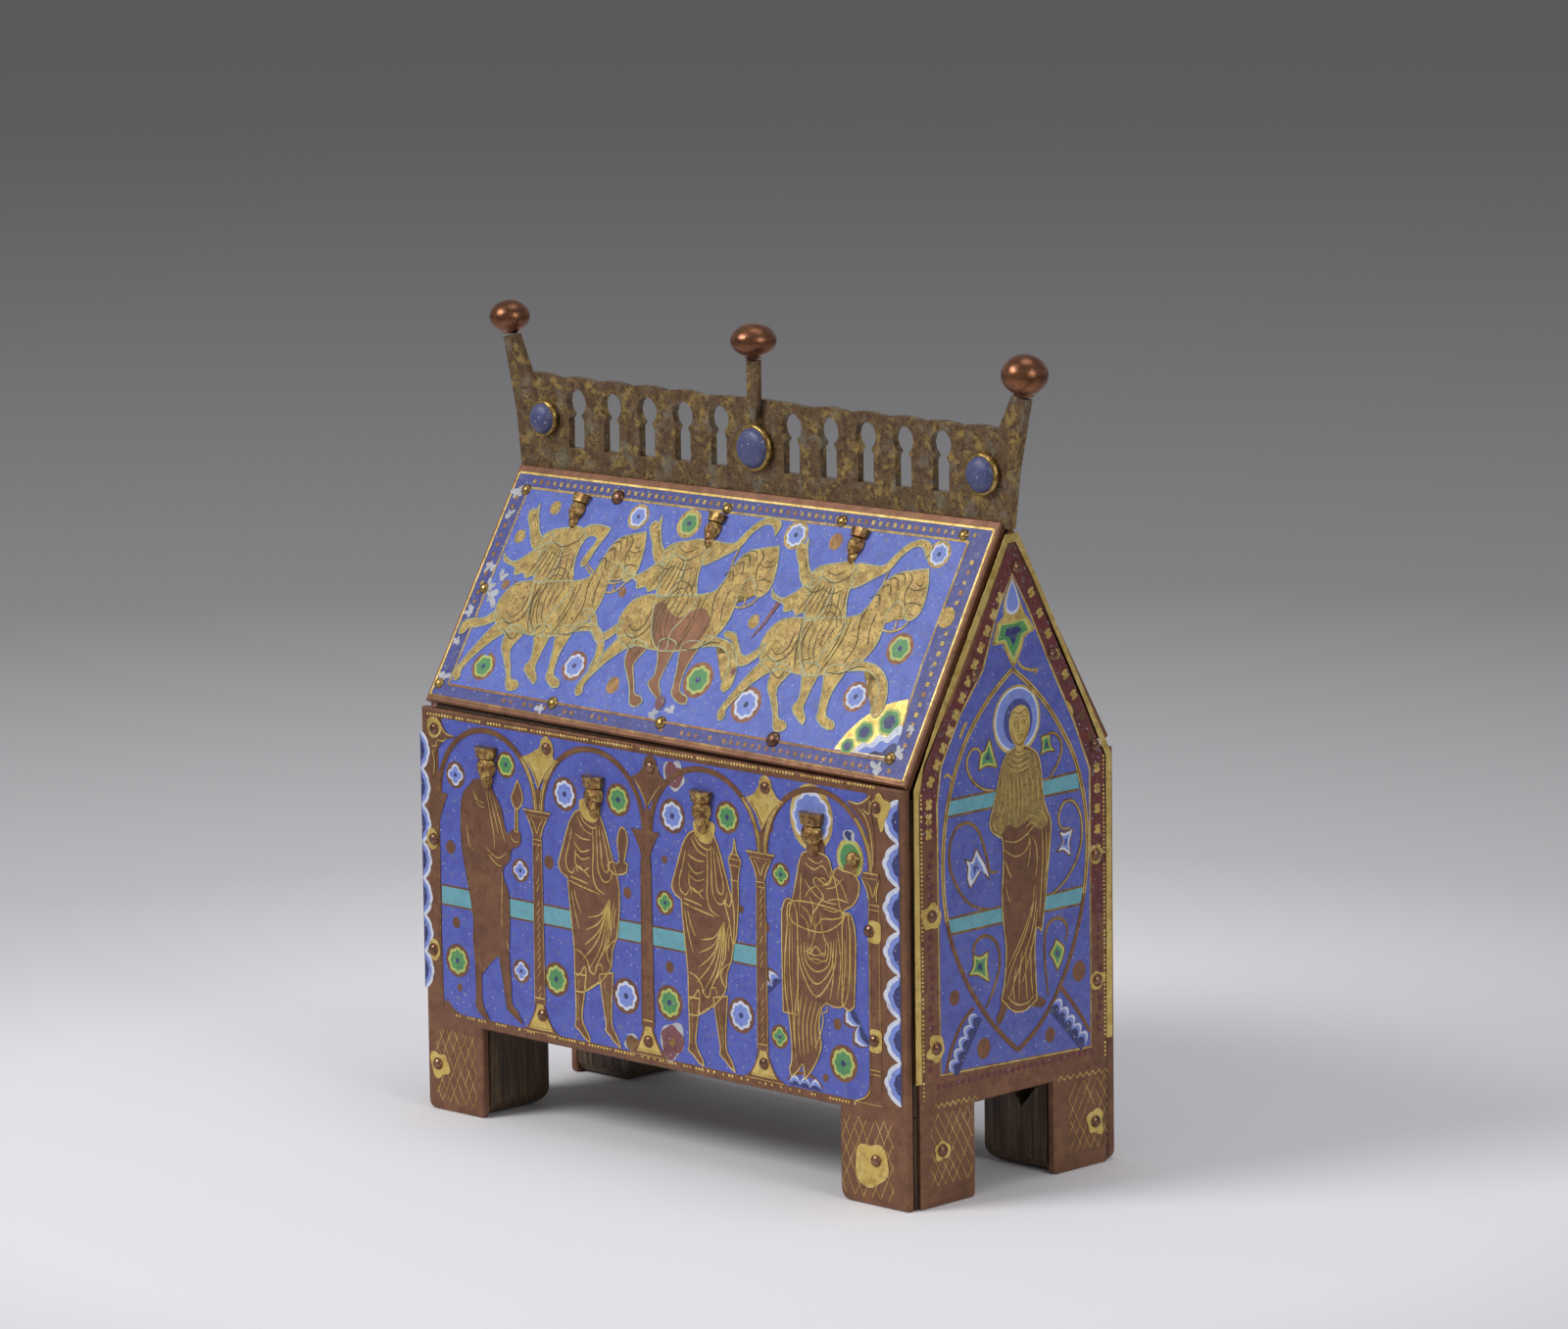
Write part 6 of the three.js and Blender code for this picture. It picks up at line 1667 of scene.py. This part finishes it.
# %% Engrave the robe
for fold in (((-1.4, 103), (2, 101.4), (5.8, 102.6)), ((-1.8, 101.8), (2, 100), (6.4, 101.4)),
    ((-2.2, 100.6), (2, 98.8), (6.8, 100.2)),
             ((-3.2, 99.8), (-3.8, 95), (-5.4, 89.4)), ((-2.4, 99), (-2.6, 94), (-4.6, 87.6)),
    ((-1.4, 98.4), (-1.2, 93), (-1.6, 88)), ((0, 98.4), (0.4, 93), (-0.2, 88)),
             ((1.4, 98), (1.8, 92), (1.4, 87.6)), ((2.8, 98.2), (3.2, 93), (3, 88.4)),
    ((4.2, 98.6), (4.8, 94), (4.6, 89.4)), ((5.6, 99.4), (6.6, 94.6), (6.6, 89.6)),
    ((7.2, 100.4), (8.4, 95), (8.6, 89.8)),
             ((-6.8, 88.4), (-6.4, 86.6), (-5.2, 85.6)), ((8.8, 88.6), (10.4, 87.4), (11.6, 85.4)),
    ((3.6, 86.2), (5, 87.6), (7.4, 87.4), (8.6, 86)), ((4.2, 85), (6, 86), (7.8, 85)),
             ((-3.4, 83.2), (0.4, 82.2), (4.4, 83.4), (8.8, 86.4)),
    ((-3.2, 80.8), (0.6, 78.8), (4, 79.6), (5.8, 82.4)), ((5, 83.8), (5.6, 80.6), (5.2, 77),
        (4.4, 75.4)), ((6, 83), (7.6, 80.6), (8, 76.6), (7.4, 73)),
             ((9.6, 84.6), (10, 78), (9.4, 71), (8.6, 63)), ((11.2, 84), (11.2, 76), (10.2, 68.6)),
    ((12.2, 82.6), (12, 78), (11.2, 73.6)), ((-2.8, 78), (-1.8, 75.6), (-0.8, 73.8)),
    ((-2.8, 72.2), (-2.2, 70), (-1.2, 68)),
             ((7, 71), (6, 64.6), (3, 58.6), (-0.6, 53.2), (-3, 48)),
    ((7.6, 68.6), (6.6, 62), (4, 56), (0.6, 50.4), (-1.8, 45.6)),
    ((8, 65.6), (6.8, 59), (4.8, 53.4), (2.6, 48.2)), ((6.2, 66.6), (4.4, 62.4), (1, 57.2), (-2.6, 52.4)),
             ((4, 57), (3.8, 50), (4.2, 44)), ((5.6, 56.6), (5.6, 50), (6.2, 45)),
    ((2.6, 56), (1.6, 50), (1.4, 44.4)), ((-2.6, 46), (-0.4, 44), (2, 43.2), (4.6, 43.4), (6.8, 44.8)),
    ((0.4, 52), (-0.4, 48), (-0.2, 44.8))):
    gable_metal.line(line_gilt, fold, 0.3)

# %% [markdown]
# The two feet are hatched like those in front, under a zigzag line. A thin patch of gilding is left
# round each nail.

# %% Hatch the feet of the gable and finish it
for low, high, seed in (((-28.8, 5), (-14.6, 22.2), 12), ((18.6, 4.4), (32, 21.4), 14)):
    hatching(gable_metal, low, high, 2.5, 1.7, line_gilt, 0.22, seed, 0.2)
for start, end in (((-28, 24), (-12.8, 23.6)), ((14.8, 23), (32.4, 22.2))):
    count = 16
    zigzag = [(start[0] + (end[0] - start[0]) * i / count,
        start[1] + (end[1] - start[1]) * i / count + (0.55 if i % 2 else -0.55)) for i in range(count + 1)]
    gable_metal.line(line_gilt, [Vector(p) for p in zigzag], 0.4, 0.09, raw=True)
for u, v, size, seed in ((-25, 13.1, 2.4, 3), (27.8, 10.5, 3, 5), (-26.8, 37.6, 3, 6),
    (-27.9, 69, 3.2, 7), (28.8, 44.5, 2.4, 8), (28.4, 74.8, 2.2, 9)):
    gable_metal.fill(gilt, blotch((u, v), size, seed, 0.35), 0.11)
gable_glass.finish("blue_enamel")
gable_metal.finish("gilt_copper")

# %% [markdown]
# ## Nails and beads
# Small domed nails hold every plate, and a row of punched beads runs along some edges. Both are the
# same thing: a flattened dome set on a point, facing out of the plate. A Geometry Nodes tree makes them,
# because one tree can then serve for nails and beads of any size. Its inputs are the dome's height, how
# much the sizes vary, a fixed seed and the finish. The result is baked into an ordinary mesh.

# %% Build the dome tree
def make_dome_tree():
    tree = bpy.data.node_groups.new("domes_on_points", "GeometryNodeTree")
    tree.interface.new_socket("Points", in_out="INPUT", socket_type="NodeSocketGeometry")
    for label, kind in (("Height", "Float"), ("Jitter", "Float"), ("Seed", "Int"), ("Sides", "Int"),
                        ("Finish", "Material")):
        tree.interface.new_socket(label, in_out="INPUT", socket_type="NodeSocket" + kind)
    tree.interface.new_socket("Domes", in_out="OUTPUT", socket_type="NodeSocketGeometry")
    given, out = tree.nodes.new("NodeGroupInput"), tree.nodes.new("NodeGroupOutput")
    link = tree.links.new

    dome = add(tree, "GeometryNodeMeshUVSphere", Rings=8, Radius=1.0)
    link(given.outputs["Sides"], dome.inputs["Segments"])
    size = add(tree, "GeometryNodeInputNamedAttribute", data_type="FLOAT", Name="size")
    facing = add(tree, "GeometryNodeInputNamedAttribute", data_type="FLOAT_VECTOR", Name="facing")
    less = add(tree, "ShaderNodeMath", operation="SUBTRACT")
    less.inputs[0].default_value = 1.0
    link(given.outputs["Jitter"], less.inputs[1])
    chance = add(tree, "FunctionNodeRandomValue", data_type="FLOAT")
    link(less.outputs[0], chance.inputs[2])
    chance.inputs[3].default_value = 1.0
    link(given.outputs["Seed"], chance.inputs["Seed"])
    width = add(tree, "ShaderNodeMath", operation="MULTIPLY")
    link(size.outputs["Attribute"], width.inputs[0])
    link(chance.outputs[1], width.inputs[1])
    tall = add(tree, "ShaderNodeMath", operation="MULTIPLY")
    link(width.outputs[0], tall.inputs[0])
    link(given.outputs["Height"], tall.inputs[1])
    scale = add(tree, "ShaderNodeCombineXYZ")
    link(width.outputs[0], scale.inputs["X"])
    link(width.outputs[0], scale.inputs["Y"])
    link(tall.outputs[0], scale.inputs["Z"])
    turned = add(tree, "FunctionNodeAlignRotationToVector", axis="Z")
    link(facing.outputs["Attribute"], turned.inputs["Vector"])

    placed = add(tree, "GeometryNodeInstanceOnPoints")
    link(given.outputs["Points"], placed.inputs["Points"])
    link(dome.outputs["Mesh"], placed.inputs["Instance"])
    link(turned.outputs["Rotation"], placed.inputs["Rotation"])
    link(scale.outputs["Vector"], placed.inputs["Scale"])
    real = add(tree, "GeometryNodeRealizeInstances")
    link(placed.outputs["Instances"], real.inputs["Geometry"])
    finished = add(tree, "GeometryNodeSetMaterial")
    link(real.outputs["Geometry"], finished.inputs["Geometry"])
    link(given.outputs["Finish"], finished.inputs["Material"])
    smooth = add(tree, "GeometryNodeSetShadeSmooth")
    link(finished.outputs["Geometry"], smooth.inputs["Geometry"])
    link(smooth.outputs["Geometry"], out.inputs["Domes"])
    return tree


dome_tree = make_dome_tree()

# %% [markdown]
# The points carry two attributes: the size of the dome, and the way it faces. The modifier is given its
# inputs, evaluated once and turned into a plain mesh, and the holder with its modifier is removed.

# %% Bake domes on points
def domes(name, place, points, material, height=0.72, jitter=0.06, seed=1, sides=16):
    """points are (u, v, radius) on the plate that `place` describes."""
    mesh = bmesh.new()
    size = mesh.verts.layers.float.new("size")
    facing = mesh.verts.layers.float_vector.new("facing")
    for u, v, radius in points:
        vertex = mesh.verts.new(place(u, v, 0.0))
        vertex[size] = radius * MM
        vertex[facing] = (place(u, v, 1.0) - place(u, v, 0.0)).normalized()
    data = bpy.data.meshes.new(name + "_points")
    mesh.to_mesh(data)
    mesh.free()
    holder = bpy.data.objects.new(name + "_points", data)
    bpy.context.scene.collection.objects.link(holder)
    modifier = holder.modifiers.new("domes", "NODES")
    modifier.node_group = dome_tree
    values = {"Height": height, "Jitter": jitter, "Seed": seed, "Sides": sides, "Finish": material}
    for socket in dome_tree.interface.items_tree:
        if socket.name in values:
            modifier[socket.identifier] = values[socket.name]
    bpy.context.view_layer.update()
    evaluated = holder.evaluated_get(bpy.context.evaluated_depsgraph_get())
    baked = bpy.data.meshes.new_from_object(evaluated)
    holder.modifiers.clear()
    bpy.data.objects.remove(holder)
    piece = bpy.data.objects.new(name, baked)
    bpy.context.scene.collection.objects.link(piece)
    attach(piece, "root")
    print(name, len(points), "domes,", len(baked.polygons), "faces")
    return piece

# %% [markdown]
# The nails of the long walls stand in the spandrels, down the sides, at the foot of the columns and on
# the feet. Some are bare copper, some still carry gold. On the roof they follow the border.

# %% Drive the nails
NAIL = 1.62
WALL_NAILS = ((-75.7, 94.7), (-36.9, 94.7), (-1.8, 94.7), (36.2, 94.7), (71.8, 94.7), (-76.7, 67.3),
              (-77.6, 39.8), (69.2, 65.2), (70.4, 39.4), (-39.8, 29.0), (-3.8, 28.0), (34.6, 28.5),
              (-76.9, 11.4), (70.5, 10.9))
GABLE_NAILS = ((1.8, 146.9), (-12.8, 123.4), (13.9, 124.6), (28.3, 101.1), (-27.8, 69.1), (28.4, 74.8),
               (-26.6, 37.6), (28.8, 44.5), (-25.0, 13.1), (27.8, 10.5))
ROOF_NAILS = ((-74.2, 56.8, 1.5), (-6.4, 59.7, 1.5), (31.2, 61.0, 1.6), (70.1, 62.1, 1.5),
              (-75.1, 30.4, 1.4), (-77.3, 4.7, 1.5), (-38.1, 4.9, 1.7), (-1.5, 4.9, 1.7), (72.6, 6.3, 1.6))
LARGE_ROOF_NAILS = ((-43.0, 58.4, 2.0), (35.2, 5.8, 2.1))

domes("front_wall_nails", on_front, [(u, v, NAIL) for u, v in WALL_NAILS], nail_copper)
domes("right_gable_nails", on_right, [(u, v, NAIL) for u, v in GABLE_NAILS], nail_copper,
    seed=2)
domes("front_roof_nails", on_front_roof, ROOF_NAILS, nail_gilt, seed=3)
domes("front_roof_large_nails", on_front_roof, LARGE_ROOF_NAILS, nail_copper, seed=4)
domes("rear_roof_nails", on_rear_roof, [(u, v, 1.5) for u in (-76, -38, 0, 38, 76) for v in (3.6, 58.6)],
      nail_copper, seed=5)

# %% [markdown]
# A gilt bead line runs under the eave of the front wall and along its foot, where it is partly worn.

# %% Punch the bead rows
BEAD, BEAD_STEP = 0.42, 1.0


def bead_row(start, end, worn, seed):
    chance = random.Random(seed)
    start, end = Vector(start), Vector(end)
    count = int((end - start).length / BEAD_STEP)
    row = [start.lerp(end, i / count) for i in range(count + 1)]
    return [(p.x, p.y, BEAD) for p in row if chance.random() > worn]


domes("front_wall_beads", on_front,
      bead_row((-78, 98.1), (72, 99.3), 0.05, 1) + bead_row((-70, 24.4), (64, 23.5), 0.45, 2),
      line_gilt, height=0.7, jitter=0.2, sides=8)
domes("right_gable_beads", on_right,
      bead_row((-31.0, 26), (-31.0, 98), 0.1, 3) + bead_row((31.4, 26), (31.4, 98), 0.1, 4),
      line_gilt, height=0.7, jitter=0.2, sides=8)

# %% [markdown]
# ## Knobs and bosses
# The knobs are smooth turned balls, polished by hands. A boss is a dome of dark glass in a gilt collar.
# Both are turned shapes: a profile swept round an axis, fitted to the box of the solid it replaces.

# %% Turn the knobs and bosses
def turned_piece(name, profile, centre, across, along, rise, materials, borders, count=40):
    """profile runs from the foot to the top as (radius, height), both as shares of the box."""
    mesh = bmesh.new()
    foot = mesh.verts.new(centre + rise * profile[0][1])
    rings = []
    for radius, height in profile[1:-1]:
        ring = []
        for i in range(count):
            a = 2 * math.pi * i / count
            ring.append(mesh.verts.new(centre + rise * height
                                       + radius * (across * math.cos(a) + along * math.sin(a))))
        rings.append(ring)
    top = mesh.verts.new(centre + rise * profile[-1][1])
    for i in range(count):
        j = (i + 1) % count
        mesh.faces.new((foot, rings[0][j], rings[0][i]))
        mesh.faces.new((top, rings[-1][i], rings[-1][j])).material_index = len(materials) - 1
        for k, (a, b) in enumerate(zip(rings, rings[1:])):
            mesh.faces.new((a[i], a[j], b[j], b[i])).material_index = int(k >= borders)
    bmesh.ops.recalc_face_normals(mesh, faces=mesh.faces[:])
    for face in mesh.faces:
        face.smooth = True
    data = bpy.data.meshes.new(name)
    mesh.to_mesh(data)
    mesh.free()
    for material in materials:
        data.materials.append(material)
    piece = bpy.data.objects.new(name, data)
    bpy.context.scene.collection.objects.link(piece)
    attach(piece, "root")
    return piece


NECK = [(0.0, -1.0), (0.4, -1.0), (0.42, -0.93)]
BALL = NECK + [(math.sin(math.pi * i / 18), -math.cos(math.pi * i / 18)) for i in range(3, 19)]
DOME = [(0.8 * math.cos(math.pi * i / 16), 0.42 + 0.56 * math.sin(math.pi * i / 16)) for i in range(9)]
BOSS = [(0.0, 0.02), (0.98, 0.02), (0.99, 0.2), (0.95, 0.38), (0.87, 0.46), (0.82, 0.4)] + DOME
for side in ("left", "middle", "right"):
    low, high = (Vector(corner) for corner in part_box(f"crest_{side}_knob"))
    centre, half = (low + high) / 2, (high - low) / 2 * 0.995
    knob = turned_piece(f"{side}_smooth_knob", BALL, centre, Vector((half.x, 0, 0)), Vector((0, half.y, 0)),
                        Vector((0, 0, half.z)), [knob_copper], 99)
    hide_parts(f"crest_{side}_knob")
    low, high = (Vector(corner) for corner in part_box(f"crest_{side}_boss"))
    half = (high - low) / 2
    base = Vector(((low.x + high.x) / 2, high.y, (low.z + high.z) / 2))
    boss = turned_piece(f"{side}_domed_boss", BOSS, base, Vector((half.x, 0, 0)), Vector((0, 0, half.z)),
                        Vector((0, low.y - high.y, 0)), [nail_gilt, boss_enamel], 4)
    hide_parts(f"crest_{side}_boss")
print("knobs and bosses turned")

# %% [markdown]
# ## The sides that are hardly seen
# The back wall, the rear roof and the left gable face away. Workshops gave such plates plain repeating
# flowers on blue, which is what they get here: rows of four-lobed flowers inside a narrow border. The
# feet carry the same crossed hatching as in front.

# %% Fill the plain plates
def flower_rows(enamels, metals, columns, rows, radius, inside):
    for i, u in enumerate(columns):
        for k, v in enumerate(rows):
            if inside(u, v):
                rosette(enamels, metals, (u, v), radius, BLUE_FLOWER if (i + k) % 2 else GREEN_FLOWER, 4,
                        worn_gilt)


def plain_plate(name, place, outline, inset_outline, glass, columns, rows, radius, inside, feet,
    curved=False):
    enamels, metals = Inlay(f"{name}_enamel", place, curved), Inlay(f"{name}_drawing", place, curved)
    enamels.fill(border_blue, outline, HEIGHTS["ground"])
    enamels.fill(glass, inset_outline, HEIGHTS["band"])
    for loop in (outline, inset_outline):
        for a, b in zip(loop, loop[1:] + loop[:1]):
            a, b = Vector(a), Vector(b)
            metals.line(worn_gilt, [a.lerp(b, k / 12) for k in range(13)], 0.6, 0.13, raw=True, taper=0.0)
    flower_rows(enamels, metals, columns, rows, radius, inside)
    for low, high in feet:
        hatching(metals, low, high, 2.4, 1.5, line_gilt, seed=len(name))
    enamels.finish("blue_enamel")
    metals.finish("gilt_copper")


plain_plate("back_wall", on_back, box(-76, 24, 76, 97), box(-72, 28, 72, 93), lapis,
            [-63 + 18 * i for i in range(8)], [37, 52, 67, 82], 5.6, lambda u, v: True,
            (((-79, 3), (-64, 20)), ((64, 3), (79, 20))))
plain_plate("rear_roof", on_rear_roof, box(-78.5, 1.6, 78.5, 60.0), box(-74, 6.0, 74, 56.0), roof_lapis,
            [-63 + 18 * i for i in range(8)], [15, 31, 47], 6.0, lambda u, v: True, (), curved=True)
plain_plate("left_gable", on_left, [(-31, 24), (31, 24), (31, 100), (0, 146), (-31, 100)],
            [(-27, 28), (27, 28), (27, 98.6), (0, 138.6), (-27, 98.6)], gable_lapis,
            [-18, 0, 18], [38, 56, 74, 92, 110, 124], 5.2, lambda u, v: abs(u) < (138.6 - v) * 0.6 - 6,
            (((-34, 3), (-20, 20)), ((20, 3), (34, 20))))

# %% [markdown]
# ## Finishes for the solids
# The plates are copper throughout; what shows of them is rims, edges and the metal left standing.

# %% Dress the solids
def dress(names, material):
    for name in names:
        solids[name].data.materials.clear()
        solids[name].data.materials.append(material)


dress([n for n in solids if n.endswith("_plate")], brown_copper)
dress(["crest_strip", "crest_middle_post"], crest_metal)
dress([n for n in solids if n.endswith("_knob")], knob_copper)
dress([n for n in solids if n.endswith("_boss")], gable_lapis)
dress([n for n in solids if n.endswith("_head")], cast_gilt)
print("solids dressed:", sum(bool(s.data.materials) for s in solids.values()), "of", len(solids))

# %% [markdown]
# ## Floor and light
# A pale floor with a painted pool of light that falls away into grey, a broad soft light from the front
# left and above,
# and a weak one from the right: the long side is bright, the gable is quieter, and a soft shadow lies
# behind.

# %% Lay the floor
FLOOR_RADIUS = 6.0
# painted pool of light: the floor is painted darker with distance from the middle, standing in for light
# falling off: (distance in pairs of metres, grey)
PAINTED_LIGHT_POOL_GREYS = ((0.0, 0.86), (0.05, 0.86), (0.1, 0.84), (0.17, 0.6), (0.38, 0.34), (1.0, 0.24))


def make_floor():
    material = bpy.data.materials.new("floor_with_painted_light_pool")
    material.use_nodes = True
    tree = material.node_tree
    shader = tree.nodes["Principled BSDF"]
    shader.inputs["Roughness"].default_value = 0.85
    shader.inputs["Specular IOR Level"].default_value = 0.15
    distance = add(tree, "ShaderNodeVectorMath", operation="LENGTH")
    tree.links.new(add(tree, "ShaderNodeTexCoord").outputs["Object"], distance.inputs[0])
    # the ramp paints a pool of light on the floor: pale in the middle, darker further out
    ramp = add(tree, "ShaderNodeValToRGB")
    stops = ramp.color_ramp.elements
    for i, (place, value) in enumerate(PAINTED_LIGHT_POOL_GREYS):
        stop = stops[i] if i < 2 else stops.new(place)
        stop.position = place
        stop.color = (value, value * 0.99, value * 1.02, 1)
    scaled = add(tree, "ShaderNodeMath", operation="MULTIPLY")
    scaled.inputs[1].default_value = 0.5
    tree.links.new(distance.outputs["Value"], scaled.inputs[0])
    tree.links.new(scaled.outputs[0], ramp.inputs["Fac"])
    tree.links.new(ramp.outputs["Color"], shader.inputs["Base Color"])
    return material


floor_mesh = bmesh.new()
bmesh.ops.create_circle(floor_mesh, cap_ends=True, radius=FLOOR_RADIUS, segments=64)
floor_data = bpy.data.meshes.new("floor")
floor_mesh.to_mesh(floor_data)
floor_mesh.free()
floor_data.materials.append(make_floor())
floor = bpy.data.objects.new("floor", floor_data)
bpy.context.scene.collection.objects.link(floor)
print("floor laid, radius", FLOOR_RADIUS, "m")

# %% [markdown]
# A pale grey sky lights everything evenly, and the colours are shown without a film curve.

# %% Light it
world = bpy.data.worlds.new("studio")
world.use_nodes = True
world.node_tree.nodes["Background"].inputs["Color"].default_value = (0.97, 0.97, 1.0, 1)
world.node_tree.nodes["Background"].inputs["Strength"].default_value = 0.34
bpy.context.scene.world = world
bpy.context.scene.view_settings.view_transform = "Standard"

# %% [markdown]
# Each light is a wide disc, so that shadows have soft edges. It is turned towards the casket.

# %% Hang three soft lights
def soft_light(name, place, target, size, power):
    lamp = bpy.data.lights.new(name, "AREA")
    lamp.shape = "DISK"
    lamp.size = size
    lamp.energy = power
    holder = bpy.data.objects.new(name, lamp)
    holder.location = place
    holder.rotation_euler = (Vector(target) - Vector(place)).to_track_quat("-Z", "Y").to_euler()
    bpy.context.scene.collection.objects.link(holder)


soft_light("large_front_light", (-0.55, -1.15, 1.15), (0, 0, 0.08), 0.75, 15.5)
soft_light("weak_right_light", (1.3, -0.15, 0.7), (0, 0, 0.1), 0.8, 4.2)
soft_light("top_light", (0.1, 0.2, 1.6), (0, 0, 0.1), 0.9, 3.6)
print("lights set")
